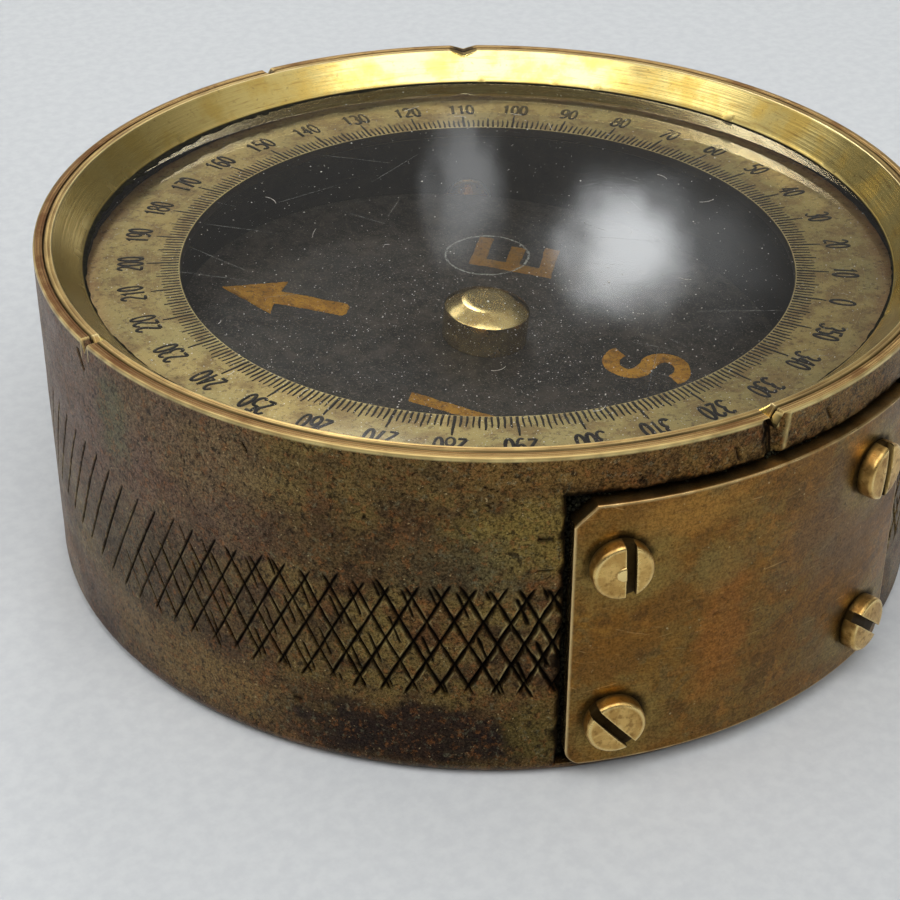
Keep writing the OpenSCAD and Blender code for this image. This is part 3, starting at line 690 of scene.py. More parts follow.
# ------------------------------------------------------------------ the drum wall
def notch_cut(az, r):
    """Height of the rim notches' bottom over each point."""
    out = np.full(np.broadcast(az, r).shape, 99.0)
    for a0, w, d in NOTCHES:
        da = np.radians(turn(az - a0))
        dist = np.abs(r * np.sin(da))
        cut = H_CASE - d * (1 - dist * 2 / w) * (np.clip((r - 29.9) / 0.8, 0, 1) if w == 0.8 else 1.0)
        out = np.where((np.cos(da) > 0) & (dist < w / 2), np.minimum(out, cut), out)
    return out


def notch_shine(az, r, reach):
    """1 along the burrs of the notches."""
    out = np.zeros(np.broadcast(az, r).shape)
    for a0, w, d in NOTCHES[:3]:
        da = np.radians(turn(az - a0))
        dist = np.abs(r * np.sin(da))
        burr = np.where(np.cos(da) > 0, np.clip(1 - np.abs(dist - w / 2) / reach, 0, 1), 0)
        out = np.maximum(out, burr * (np.clip((r - 30.2) / 0.4, 0, 1) if w == 0.8 else 1.0))
    return out


def stroke(t, z, t0, z0, t1, z1, width):
    """0..1 profile of a cut from (t0, z0) to (t1, z1), deepest in its middle."""
    dx, dz = t1 - t0, z1 - z0
    L = math.hypot(dx, dz)
    u = ((t - t0) * dx + (z - z0) * dz) / L
    d = np.abs((t - t0) * dz - (z - z0) * dx) / L
    ends = np.clip(np.minimum(u, L - u) / (0.6 * width) + 0.5, 0, 1)
    return np.clip(1 - (d / (width / 2)) ** 2, 0, 1) * ends


def column_angles():
    fine = np.arange(-200.0, -113.0, 0.115)
    rest = np.arange(-113.0, 160.0, 0.235)
    az = np.concatenate([fine, rest])
    pairs = [PLATE_AZ - PLATE_HALF - 0.7, PLATE_AZ + PLATE_HALF + 0.7]
    s = math.degrees(math.asin(1.15 / R_CASE))
    pairs += [LOCK_AZ - s, LOCK_AZ + s]
    singles = []
    for a0, w, d in NOTCHES:
        h = math.degrees(w / 2 / R_CASE)
        if w < 2:
            singles += list(a0 + np.linspace(-1.15 * h, 1.15 * h, 21))
            singles = [x if x >= -200 else x + 360 for x in singles]
    singles = sorted(singles)
    extra = []
    for p in pairs:
        extra += [p - 0.004, p + 0.004]
    for e in singles:
        az = az[np.abs(az - e) > 0.06]
    for p in pairs:
        az = az[np.abs(az - p) > 0.05]
    az = np.sort(np.concatenate([az, extra, singles]))
    return az


def knurl(az, z):
    """Depth and burr of the hand-cut diamond knurl. az and z are broadcast arrays."""
    p = 2 * math.pi * R_CASE / 115
    t = np.radians(az % 360.0) * R_CASE
    n = 115
    a_line = np.arange(n) * 360.0 / n
    k = np.arange(n)
    zero = np.zeros(n)
    out = np.zeros(np.broadcast(az, z).shape)
    burr = np.zeros_like(out)
    dark = np.zeros_like(out)

    def rnd(seed, lo, hi):
        return lo + (hi - lo) * hashed(k, k * 0 + 7, seed)

    # how strongly each stretch of the band is cut, by azimuth
    def along(points, a):
        a = (np.asarray(a) + 200.0) % 360.0 - 200.0
        xs, ys = zip(*points)
        return np.interp(a, xs, ys)

    fams = []
    tan = math.tan(math.radians(27.5))
    # strokes that lean right, then strokes that lean left, then short second strokes between these
    for fam, (lean, seed) in enumerate([(1, 11), (-1, 23), (-1, 37)]):
        mid = (k + (0.5 if fam == 2 else 0.0)) * p + rnd(seed, -0.06, 0.06) * (2.0 if fam == 2 else 1.0)
        a_mid = np.degrees(mid / R_CASE)
        if fam == 0:
            depth = along([(-200, 0.15), (-182, 0.12), (-166, 0.09), (-152, 0.14), (-126, 0.20), (-118, 0.28), (-114, 0.30), (-60, 0.2), (160, 0.17)], a_mid)
        elif fam == 1:
            depth = along([(-200, 0.0), (-176, 0.02), (-170, 0.05), (-162, 0.11), (-152, 0.16), (-126, 0.21), (-118, 0.28), (-114, 0.30), (-60, 0.2), (160, 0.15)], a_mid)
        else:
            depth = along([(-200, 0.0), (-165, 0.02), (-154, 0.10), (-134, 0.14), (-124, 0.18), (-114, 0.26), (-60, 0.10), (150, 0.0), (160, 0.0)], a_mid)
        depth = depth * rnd(seed + 1, 0.82, 1.15)
        top = 14.75 + rnd(seed + 2, -0.3, 0.12)
        bot = 6.3 + rnd(seed + 3, -0.15, 0.4)
        if fam == 0:
            # on the far left the strokes start higher and end higher
            a = (a_mid + 200.0) % 360.0 - 200.0
            lift = np.interp(a, [-200, -186, -172, -160], [1.6, 1.4, 0.2, 0.0])
            top, bot = top + lift, bot + lift * 1.6
        if fam == 1:
            # and the left-leaning ones are only cut low down there
            a = (a_mid + 200.0) % 360.0 - 200.0
            top = np.minimum(top, np.interp(a, [-178, -170, -160, -148], [8.6, 10.0, 12.8, 14.9]) + rnd(seed + 8, -0.5, 0.5))
        slope = tan * lean * (0.72 if fam == 2 else 1.0) * rnd(seed + 4, 0.975, 1.025)
        bend = rnd(seed + 7, -0.035, 0.035)
        half = (0.055 + 0.40 * depth) * (0.85 if fam == 2 else 1.0)
        fams.append((mid, slope, top, bot, depth, half, bend))
    zc = 10.4
    rough_line = 0.72 + 0.56 * vnoise(np.broadcast_to(az, out.shape) / 360 * 520, np.broadcast_to(z, out.shape) * 1.7, 12, 520)
    for fam, (mid, slope, top, bot, depth, half, bend) in enumerate(fams):
        shift = np.mean(slope) * (z - zc)
        base = np.round(((t - shift) - mid[0] + p * 0) / p).astype(np.int64)
        for o in (-1, 0, 1):
            i = (base + o) % n
            c = mid[i] + slope[i] * (z - zc) + bend[i] * np.sin((z - bot[i]) * 0.9)
            d = (t - c + math.pi * R_CASE) % (2 * math.pi * R_CASE) - math.pi * R_CASE
            d = np.abs(d) * math.cos(math.radians(27.5))
            fade = np.clip((z - bot[i]) / 0.5, 0, 1) * np.clip((top[i] - z) / 0.5, 0, 1)
            # the strokes run deeper toward their lower end
            run = 0.82 + 0.36 * np.clip((top[i] - z) / 7.5, 0, 1)
            if fam == 2:
                # one short stroke in each diamond
                ph = ((z - bot[i]) / (p / tan) + 0.5 * (i % 2) + 0.12 * np.sin(i * 2.4)) % 1.0
                fade = fade * np.clip((0.32 - np.abs(ph - 0.5)) / 0.08, 0, 1) * (hashed(i, np.floor((z - bot[i]) / (p / tan)).astype(np.int64), 77) > 0.12)
            h = half[i] * (0.55 + 0.45 * fade) * rough_line
            g = np.clip(1 - (d / h) ** 2, 0, 1) * depth[i] * run * np.sqrt(fade)
            out = np.maximum(out, g)
            on = depth[i] > 0.03
            # painted shade: dark covers each groove and a little past its edges, to darken the grooves in colour
            dark = np.maximum(dark, np.where(on, np.clip(1.35 - (d / h), 0, 1) * np.clip(fade * 2.0, 0, 1)
                                             * np.clip(depth[i] / 0.10, 0, 1), 0))
            # burr marks the raised edge beside each groove, used for its shape and for a painted highlight
            burr = np.maximum(burr, np.where(on, np.clip(1 - np.abs(d - h * 1.25) / (0.5 * h), 0, 1) * fade
                                             * np.clip(depth[i] / 0.2, 0, 1), 0))
    return out, burr, dark


def build_wall():
    az = column_angles()
    n = len(az)
    # outer profile rows, from the foot up; z values
    arc = [0.0, 0.03, 0.13, 0.3, 0.5, 0.7, 0.86]
    rows = arc + [0.896, 0.904, 1.0]
    rows += list(np.arange(1.4, 5.3, 0.42))
    rows += list(np.arange(5.4, 16.2, 0.115))
    rows += list(np.arange(16.4, 20.85, 0.34)) + [20.93, 20.996, 21.004, 21.08]
    rows += list(np.arange(21.2, 23.60, 0.12)) + [23.62]
    zr = np.array(rows)
    AZ, Z = np.meshgrid(az, zr, indexing="ij")
    Rw = np.where(Z < 1.0, 30.0 + np.sqrt(np.clip(1 - (1 - Z) ** 2, 0, 1)), R_CASE)
    t = np.radians(turn(AZ - PLATE_AZ)) * R_CASE
    groove = np.zeros_like(Z)
    wear_and_highlight = np.zeros_like(Z)
    # slight unevenness of a hand-finished drum
    Rw = Rw - 0.018 * vnoise(AZ / 360 * 90, Z * 0.45, 3, 90) - 0.010 * vnoise(AZ / 360 * 40, Z * 3.2, 4, 40) \
        * (Z > 1.0)
    # knurl, with painted shade in its grooves and a painted highlight along its burrs
    band = (zr > 4.6) & (zr < 17.2)
    d, b, dk = knurl(AZ[:, band], Z[:, band])
    wob = vnoise(AZ[:, band] / 360 * 700, Z[:, band] * 2.6, 8, 700)
    Rb = Rw[:, band] - d * (0.85 + 0.3 * wob) + 0.012 * b
    Rb = np.minimum(Rb, R_CASE)
    Rw[:, band] = Rb
    # painted shade in the grooves, then a painted highlight in bright brass along the burrs
    groove[:, band] = np.clip(dk, 0, 1)
    wear_and_highlight[:, band] = 0.5 * b * np.clip(vnoise(AZ[:, band] / 360 * 420, Z[:, band] * 2.0, 9, 420) * 2.4 - 1.15, 0, 1)
    # dents, scratches and file marks: azimuth, height at both ends, width, depth
    marks = [(-178.9, 22.9, -177.7, 21.7, 0.34, 0.20), (-106.9, 21.95, -106.1, 21.3, 0.16, 0.08), (-82.6, 22.8, -81.7, 21.9, 0.20, 0.10),
             (-95.6, 22.5, -95.0, 21.6, 0.22, 0.12), (-124.2, 21.9, -122.2, 21.55, 0.10, 0.04), (-151.0, 22.4, -150.4, 21.9, 0.22, 0.10),
             (-118.0, 19.3, -116.2, 19.3, 0.14, 0.06), (-118.2, 18.6, -116.0, 18.62, 0.16, 0.08), (-117.9, 18.1, -116.1, 18.1, 0.12, 0.06),
             (-118.1, 17.2, -116.3, 17.2, 0.14, 0.07), (-117.7, 16.6, -116.2, 16.6, 0.14, 0.07), (-117.9, 15.9, -116.2, 15.9, 0.16, 0.07),
             (-137.0, 19.2, -135.8, 18.9, 0.10, 0.04), (-140.5, 17.5, -139.7, 17.1, 0.12, 0.05), (-160.0, 20.0, -159.0, 19.2, 0.12, 0.04),
             (-129.0, 3.4, -127.2, 3.3, 0.14, 0.05), (-146.0, 4.3, -144.6, 4.4, 0.14, 0.05)]
    for a0, z0, a1, z1, w, dep in marks:
        near = np.abs(turn(az - (a0 + a1) / 2)) < 3
        tt = np.radians(turn(AZ[near] - a0)) * R_CASE
        s = stroke(tt, Z[near], 0.0, z0, math.radians(a1 - a0) * R_CASE, z1, w)
        Rw[near] -= dep * s
        groove[near] = np.maximum(groove[near], np.clip(s * 1.4, 0, 1) * 0.9)
    # the plate's recess, with crumbled upper and left edges; its floor and the crumbled edges are painted near black, a
    # painted shadow in the gap round the plate
    lo_t, hi_t = -math.radians(PLATE_HALF + 0.7) * R_CASE, math.radians(PLATE_HALF + 0.7) * R_CASE
    inside = (t > lo_t) & (t < hi_t) & (Z > 0.9) & (Z < 21.0)
    floor = RECESS_R - 0.02 - 0.0 * Z
    Rw = np.where(inside, floor, Rw)
    groove = np.where(inside, 1.0, groove)
    wear_and_highlight = np.where(inside, 0.0, wear_and_highlight)
    over = np.clip(1 - (Z - 21.0) / (0.12 + 0.5 * vnoise(AZ / 360 * 640, Z * 0, 14, 640) ** 2), 0, 1) * ((Z > 21.0) & (t > lo_t - 0.2) & (t < hi_t + 0.2))
    left = np.clip(1 - (lo_t - t) / (0.15 + 0.75 * vnoise(AZ * 0, Z * 1.7, 15) ** 1.5), 0, 1) * ((t < lo_t) & (t > lo_t - 1.2) & (Z < 21.2) & (Z > 0.8))
    right = np.clip(1 - (t - hi_t) / 0.25, 0, 1) * ((t > hi_t) & (t < hi_t + 0.6) & (Z < 21.2) & (Z > 0.8))
    crumb = np.maximum(np.maximum(over, left), right)
    groove = np.maximum(groove, np.clip(crumb * 1.5, 0, 1) * 0.95)
    Rw = Rw - 0.10 * crumb * (~inside)
    # fuzzy dark specks above the recess
    sp = vnoise(AZ / 360 * 1400, Z * 6.5, 16, 1400)
    fuzz = np.clip((sp - 0.62) * 6, 0, 1) * np.clip(1 - np.abs(Z - 21.2) / 0.9, 0, 1) * (Z > 21.0) * (t > lo_t - 0.6) * (t < hi_t + 0.6)
    groove = np.maximum(groove, fuzz * 0.85)
    # the scoop below the deep notch
    da = np.radians(turn(AZ + 90.3))
    dist = R_CASE * np.sin(da)
    cr = 0.75 + (Z - 20.9) * 0.125
    scoop = 31.35 - np.sqrt(np.clip(cr ** 2 - dist ** 2, 0, None))
    hit = (np.cos(da) > 0) & (np.abs(dist) < cr) & (Z > 20.9)
    Rs = np.where(hit, np.minimum(Rw, scoop), Rw)
    # painted highlight: a bright line along the scoop's right edge (larger azimuth) only
    wear_and_highlight = np.maximum(wear_and_highlight, np.where((np.cos(da) > 0) & (Z > 21.1), np.clip(1 - np.abs(np.abs(dist) - cr) / 0.16, 0, 1) * 0.55 * (dist > 0), 0))
    Rw = Rs
    # painted shade down the scoop's left flank (smaller azimuth) and along its middle, broken up into clots
    scoop_shade = vnoise(AZ / 360 * 1100, Z * 3.0, 27, 1100) * 0.6 + vnoise(AZ / 360 * 420, Z * 1.3, 28, 420) * 0.5
    scoop_shade = np.clip((scoop_shade - 0.40 - 0.35 * np.clip((dist - 0.05) / 0.6, 0, 1)) * 5, 0, 1) * np.clip((23.5 - Z) / 0.5, 0, 1)
    near = (np.cos(da) > 0) & (np.abs(dist) < cr + 0.1) & (Z > 20.9)
    groove = np.where(near, np.maximum(groove * 0.3, scoop_shade * 0.95), groove)
    groove = np.maximum(groove, np.where(hit & (np.abs(dist) < 0.12), 0.9, 0.0))
    # the slot of the card lock's knob
    ts = np.radians(turn(AZ - LOCK_AZ)) * R_CASE
    zc_lo, zc_hi = KNOB_Z - TRAVEL, KNOB_Z
    dz = np.where(Z < zc_lo, zc_lo - Z, np.where(Z > zc_hi, Z - zc_hi, 0))
    slot = np.hypot(ts, dz) < 1.15
    Rw = np.where(slot, WELL_R + 0.02, Rw)
    groove = np.where(slot, 0.8, groove)
    wear_and_highlight = np.maximum(wear_and_highlight, 0.6 * np.clip(1 - np.abs(np.hypot(ts, dz) - 1.25) / 0.12, 0, 1) * ~slot)
    # bright burr along the outer rim edge
    top_edge = np.clip((Z - 23.50) / 0.12, 0, 1)
    wear_and_highlight = np.maximum(wear_and_highlight, top_edge * (0.45 + 0.55 * vnoise(AZ / 360 * 300, Z * 0, 19, 300)))
    wear_and_highlight = np.maximum(wear_and_highlight, 0.8 * notch_shine(AZ, R_CASE, 0.07) * (Z > 22.6))
    # the rim's notches pull the top rows down
    top_of = np.minimum(H_CASE - 0.18, notch_cut(AZ, R_CASE))
    k = np.clip((Z - 22.3) / (23.62 - 22.3), 0, 1)
    Zo = np.where(Z > 22.3, 22.3 + k * (top_of - 22.3), Z)
    # wobble of the recess edges
    wv = 0.10 * (vnoise(AZ / 360 * 300, Z * 0, 21, 300) - 0.35)
    Zo = Zo + wv * np.exp(-((Z - 21.0) / 0.45) ** 2) * (np.abs(t) < hi_t + 1)
    azo = AZ + (vnoise(Z * 1.3, Z * 0, 22) - 0.5) * 0.22 * np.exp(-(((t - lo_t)) / 0.6) ** 2)
    outer = np.stack([Rw * np.cos(np.radians(azo)), Rw * np.sin(np.radians(azo)), Zo], -1)

    # the rest of the closed section: rim top, joint with the bezel, seats, well, ledge, rebate and foot
    slot_z = [KNOB_Z - TRAVEL - 1.15, KNOB_Z + 1.15]
    top_rows = [(30.955, 23.75), (30.90, 23.785), (30.82, 23.8), (30.66, 23.8), (30.54, 23.8), (30.5, 23.775), (30.46, 23.8), (30.40, 23.8), (30.35, 23.785), (30.31, 23.73)]
    inner_rows = [(30.3, 23.2), (30.3, 21.25), (28.7, 21.25), (28.7, 18.55), (26.05, 18.55), (26.0, 18.5)]
    jz = [j for j in range(len(zr)) if slot_z[0] - 0.5 < zr[j] < slot_z[1] + 0.5]
    inner_rows2 = [(26.0, 15.0)] + [(26.0, float(zr[j])) for j in reversed(jz)] + [(26.0, 4.45), (25.95, 4.4), (24.0, 4.4), (24.0, 2.2), (28.2, 2.2), (28.2, 0.05), (28.25, 0.0), (29.0, 0.0), (29.6, 0.0)]
    def ring_rows(rs):
        r = np.array([x[0] for x in rs])
        z = np.array([x[1] for x in rs])
        A, Rr = np.meshgrid(az, r, indexing="ij")
        Zr = np.broadcast_to(z, A.shape).copy()
        return A, Rr, Zr
    A1, R1, Z1 = ring_rows(top_rows)
    Z1 = np.minimum(Z1, notch_cut(A1, R1) - 0.0)
    Z1 = np.where(np.array([x[0] for x in top_rows]) > 30.85, np.minimum(Z1, notch_cut(A1, R1) + 0.0), Z1)
    tool1 = 0.006 * vnoise(A1 * 0, R1 * 30, 25)
    Z1 = Z1 - tool1 * (R1 < 30.8) * (R1 > 30.33)
    top = np.stack([R1 * np.cos(np.radians(A1)), R1 * np.sin(np.radians(A1)), Z1], -1)
    g1 = np.where(np.array([x[0] for x in top_rows]) < 30.37, 0.9, 0.0) * (0.5 + 0.5 * vnoise(A1 / 360 * 70, A1 * 0, 38, 70))
    g1 = np.maximum(g1, 0.55 * (np.abs(R1 - 30.5) < 0.01) * vnoise(A1 / 360 * 90, R1 * 0, 26, 90))
    w1 = np.clip(1 - np.abs(R1 - 30.92) / 0.08, 0, 1) * (0.4 + 0.6 * vnoise(A1 / 360 * 300, R1 * 0, 19, 300))
    w1 = np.maximum(w1, 0.8 * notch_shine(A1, R1, 0.07))
    g1 = np.maximum(g1, 0.8 * (notch_cut(A1, R1) < 23.55) * (np.abs(turn(A1 + 90.3)) < 3))
    A2, R2, Z2 = ring_rows(inner_rows)
    inn = np.stack([R2 * np.cos(np.radians(A2)), R2 * np.sin(np.radians(A2)), Z2], -1)
    A3, R3, Z3 = ring_rows(inner_rows2)
    azo3 = A3
    inn2 = np.stack([R3 * np.cos(np.radians(azo3)), R3 * np.sin(np.radians(azo3)), Z3], -1)
    V = np.concatenate([outer, top, inn, inn2], 1)
    zero2, zero3 = np.ones_like(Z2) * 0.0, np.zeros_like(Z3)
    G = np.concatenate([groove, g1, zero2 + 0.9, zero3], 1)
    W = np.concatenate([wear_and_highlight, w1, zero2, zero3], 1)
    m = V.shape[1]
    n_out, n_top, n_inn = outer.shape[1], top.shape[1], inn.shape[1]
    # open the knob slot right through, cell by cell, between the pocket's floor and the well's wall
    cell = slot[:, :-1] & slot[:, 1:] & np.roll(slot, -1, 0)[:, :-1] & np.roll(slot, -1, 0)[:, 1:]
    keep = np.ones((n, m), bool)
    start3 = n_out + n_top + n_inn
    row3 = {}
    for q, j in enumerate(reversed(jz)):
        row3[j] = start3 + 1 + q
    walls = []
    ci, cj = np.nonzero(cell)
    cells = set(zip(ci.tolist(), cj.tolist()))
    for i, j in cells:
        if j not in row3 or (j + 1) not in row3:
            continue
        keep[i, j] = False
        keep[i, row3[j + 1]] = False
        i2 = (i + 1) % n
        for (di, dj), (a, b) in {(-1, 0): ((i, j), (i, j + 1)), (1, 0): ((i2, j + 1), (i2, j)),
                                 (0, -1): ((i2, j), (i, j)), (0, 1): ((i, j + 1), (i2, j + 1))}.items():
            if (i + di, j + dj) not in cells:
                walls.append([a[0] * m + a[1], b[0] * m + b[1], b[0] * m + row3[b[1]], a[0] * m + row3[a[1]]])
    F = grid_faces(n, m, keep=keep)
    parts = [F] + ([np.array(walls)] if walls else [])
    ob = make_mesh("drum_wall", V, parts, True, {"groove": G, "wear_and_highlight": W}, 38)
    ob.data.materials.append(MAT["wall"])
    ob.data.materials.append(MAT["well"])
    cen = np.zeros(len(ob.data.polygons) * 3, np.float32)
    ob.data.polygons.foreach_get("center", cen)
    cen = cen.reshape(-1, 3) * 1000
    rr = np.hypot(cen[:, 0], cen[:, 1])
    idx = ((rr < 26.4) & (cen[:, 2] > 2.2) & (cen[:, 2] < 18.56)).astype(np.int32)
    ob.data.polygons.foreach_set("material_index", idx)
    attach(ob, "case")
    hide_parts("case_body")
    return ob


build_wall()


# ------------------------------------------------------------------ the bezel ring
def build_bezel():
    az = np.arange(-180, 180, 0.25)
    extra = []
    for a0, w, d in NOTCHES:
        h = math.degrees(w / 2 / 29.5)
        extra += list(a0 + np.linspace(-1.3 * h, 1.3 * h, 25))
    for e in extra:
        az = az[np.abs(az - e) > 0.03]
    az = np.sort(np.concatenate([az, extra]))
    rows = [(28.8, 21.3), (28.85, 21.25), (30.2, 21.25), (30.26, 21.3), (30.26, 23.2), (30.26, 23.70), (30.235, 23.77), (30.2, 23.8)]
    rows += [(r, 23.8) for r in (30.1, 30.0, 29.9, 29.82)] + [(29.78, 23.796), (29.74, 23.775), (29.70, 23.74)]
    rows += [(r, 23.8 - (29.76 - r)) for r in np.linspace(29.6, 27.95, 12)] + [(27.88, 21.94), (27.83, 21.90), (27.81, 21.86), (27.81, 21.81), (27.85, 21.8), (28.75, 21.8)]
    r0 = np.array([x[0] for x in rows], float)
    z0 = np.array([x[1] for x in rows], float)
    A, Rr = np.meshgrid(az, r0, indexing="ij")
    Z = np.broadcast_to(z0, A.shape).copy()
    up = np.arange(len(rows))
    topside = ((up >= 5) & (up <= 29))[None, :]
    cut = notch_cut(A, Rr)
    # the bevel: slight chatter, knocks at its foot
    bevel = ((Rr < 29.7) & (Rr > 27.82) & (Z > 21.85))
    Z = Z - bevel * (0.010 * vnoise(A / 360 * 64, Rr * 2.2, 31, 64))
    knock = np.clip(vnoise(A / 360 * 150, A * 0, 33, 150) - 0.80, 0, 1) * 5
    Z = Z - bevel * knock * 0.14 * np.clip(1 - (Rr - 27.8) / 0.45, 0, 1)
    Z = np.maximum(Z, 21.25)
    Z = np.where(topside, np.minimum(Z, np.maximum(cut, 21.6)), Z)
    flat = (Rr > 29.8) & (Rr < 30.22) & (Z > 23.7)
    Z = Z - flat * 0.006 * vnoise(A * 0, Rr * 28, 34) - 0.02 * (np.abs(Rr - 30.0) < 0.01) * (Z > 23.7)
    V = np.stack([Rr * np.cos(np.radians(A)), Rr * np.sin(np.radians(A)), Z], -1)
    wear_and_highlight = np.clip(1 - np.abs(Rr - 29.75) / 0.07, 0, 1) * (Z > 23.6) * (0.5 + 0.5 * vnoise(A / 360 * 200, A * 0, 35, 200))
    wear_and_highlight = np.maximum(wear_and_highlight, notch_shine(A, Rr, 0.07) * (Z > 22.9) * 0.7)
    groove = np.clip(1 - (Rr - 27.8) / 0.10, 0, 1) * (Rr < 28.2) * (Z < 22.05) * (Z > 21.6)
    groove = np.maximum(groove, bevel * knock * np.clip(1 - (Rr - 27.8) / 0.5, 0, 1))
    joint = ((Rr > 30.17)).astype(float) * np.where(Z > 23.6, 0.45 + 0.4 * vnoise(A / 360 * 70, A * 0, 37, 70), 0.95)
    joint = np.maximum(joint, 0.6 * (np.abs(Rr - 30.0) < 0.01) * (Z > 23.7) * vnoise(A / 360 * 90, Rr * 0, 36, 90))
    da = np.radians(turn(A + 90.3))
    seam = np.clip(1 - np.abs(Rr * np.sin(da)) / 0.14, 0, 1) * (np.cos(da) > 0) * (Z < 23.3) * 0.85
    groove = np.maximum(np.maximum(groove, joint), seam)
    ob = make_mesh("bezel", V, [grid_faces(len(az), len(rows))], True, {"wear_and_highlight": wear_and_highlight, "groove": groove}, 40)
    outward(ob)
    return dress(ob, "bezel", "case", "bezel_brass", "bezel_ring")


build_bezel()


# ------------------------------------------------------------------ glass, packing, degree ring
def build_glass():
    prof = [(0, GLASS_BOT), (7, GLASS_BOT), (14, GLASS_BOT), (21, GLASS_BOT), (GLASS_R - 0.15, GLASS_BOT), (GLASS_R - 0.05, GLASS_BOT + 0.05), (GLASS_R, GLASS_BOT + 0.15),
            (GLASS_R, GLASS_TOP - 0.15), (GLASS_R - 0.05, GLASS_TOP - 0.05), (GLASS_R - 0.15, GLASS_TOP), (21, GLASS_TOP), (14, GLASS_TOP), (7, GLASS_TOP), (0, GLASS_TOP)]
    ob = lathe("glass_disc", prof, 256, sharp_deg=8)
    outward(ob)
    dress(ob, "glass", "case", "glass", "cover_glass")
    # the ground edge is black with old dirt
    ob.data.materials.append(MAT["edge"])
    cen = np.zeros(len(ob.data.polygons) * 3, np.float32)
    ob.data.polygons.foreach_get("center", cen)
    cen = cen.reshape(-1, 3) * 1000
    ob.data.polygons.foreach_set("material_index", (np.hypot(cen[:, 0], cen[:, 1]) > GLASS_R - 0.14).astype(np.int32))


def build_packing():
    def wob(A, Rr, Z):
        k = 0.12 * (vnoise(A / (2 * math.pi) * 220, A * 0, 41, 220) - 0.5)
        k = k + 0.34 * np.clip(np.cos(A - math.radians(-10)), 0, 1) ** 2
        return Rr + np.where(Rr < 28, k, 0), Z
    ob = lathe("packing", [(27.75, 19.37), (28.4, 19.37), (28.44, 19.45), (28.4, 19.59), (27.8, 19.59), (27.7, 19.48)], 720, wob)
    outward(ob)
    dress(ob, "packing", "case", "packing", "glass_packing_ring")


def build_ring():
    rows = [(21.36, 19.35), (21.6, 19.35), (23, 19.35), (25, 19.35), (27, 19.35), (28.6, 19.35), (28.65, 19.3), (28.65, 18.6), (28.6, 18.55),
            (25, 18.55), (21.4, 18.55), (21.32, 18.6), (21.3, 18.8), (21.3, 19.26), (21.32, 19.32)]
    def wob(A, Rr, Z):
        return Rr, Z - 0.012 * vnoise(A / (2 * math.pi) * 30, Rr * 0.5, 43, 30) * (Z > 19.3)
    n = 720
    ob = lathe("degree_plate", rows, n, wob)
    outward(ob)
    co = np.zeros(len(ob.data.vertices) * 3, np.float32)
    ob.data.vertices.foreach_get("co", co)
    co = co.reshape(-1, 3) * 1000
    r = np.hypot(co[:, 0], co[:, 1])
    # painted highlight: a bright line along the inner edge of the ring's top
    at = ob.data.attributes.new("wear_and_highlight", "FLOAT", "POINT")
    at.data.foreach_set("value", (0.35 * (np.abs(r - 21.36) < 0.01) * (co[:, 2] > 19.3)).astype(np.float32))
    at = ob.data.attributes.new("groove", "FLOAT", "POINT")
    at.data.foreach_set("value", ((r < 21.33) & (co[:, 2] < 19.33)).astype(np.float32))
    dress(ob, "ring", "case", "ring_brass", "degree_ring")


build_glass()
build_packing()
build_ring()

SCALE_ZERO = -48.6
INLAY_Z0, INLAY_Z1 = 19.335, 19.362


def arc(cx, cy, rx, ry, a0, a1, n=14):
    a = np.radians(np.linspace(a0, a1, n))
    return np.stack([cx + rx * np.cos(a), cy + ry * np.sin(a)], -1)


def digit_strokes(ch):
    """Strokes of one figure in a box 0.5 wide and 1 high: (points, closed)."""
    P = lambda *q: np.array(q, float)
    if ch == "0":
        return [(arc(.25, .5, .25, .5, 0, 345, 24), True)]
    if ch == "1":
        return [(P((.05, .76), (.26, .98), (.26, .5), (.26, 0)), False)]
    if ch == "2":
        return [(np.vstack([arc(.25, .73, .24, .27, 165, -25, 12), P((.30, .42), (.08, .14), (.0, .02))]), False), (P((.0, .02), (.25, .02), (.52, .02)), False)]
    if ch == "3":
        return [(np.vstack([arc(.23, .76, .24, .24, 150, -70, 11), arc(.23, .27, .27, .28, 80, -150, 13)]), False)]
    if ch == "4":
        return [(P((.36, 0), (.36, .5), (.36, 1)), False), (P((.36, 1), (.18, .65), (.0, .30), (.28, .30), (.54, .30)), False)]
    if ch == "5":
        return [(P((.46, 1), (.26, 1), (.06, 1), (.05, .78), (.03, .56)), False), (arc(.22, .31, .28, .31, 125, -140, 14), False)]
    if ch == "6":
        return [(np.vstack([arc(.29, .5, .29, .5, 60, 180, 10), arc(.25, .3, .25, .3, 180, 520, 20)]), False)]
    if ch == "7":
        return [(P((.0, .98), (.25, .98), (.5, .98), (.33, .5), (.16, 0)), False)]
    if ch == "8":
        return [(arc(.25, .76, .21, .24, 0, 340, 18), True), (arc(.25, .27, .26, .28, 0, 345, 20), True)]
    if ch == "9":
        s = np.vstack([arc(.29, .5, .29, .5, 60, 180, 10), arc(.25, .3, .25, .3, 180, 520, 20)])
        return [(np.array([.5, 1.0]) - s, False)]
    return []


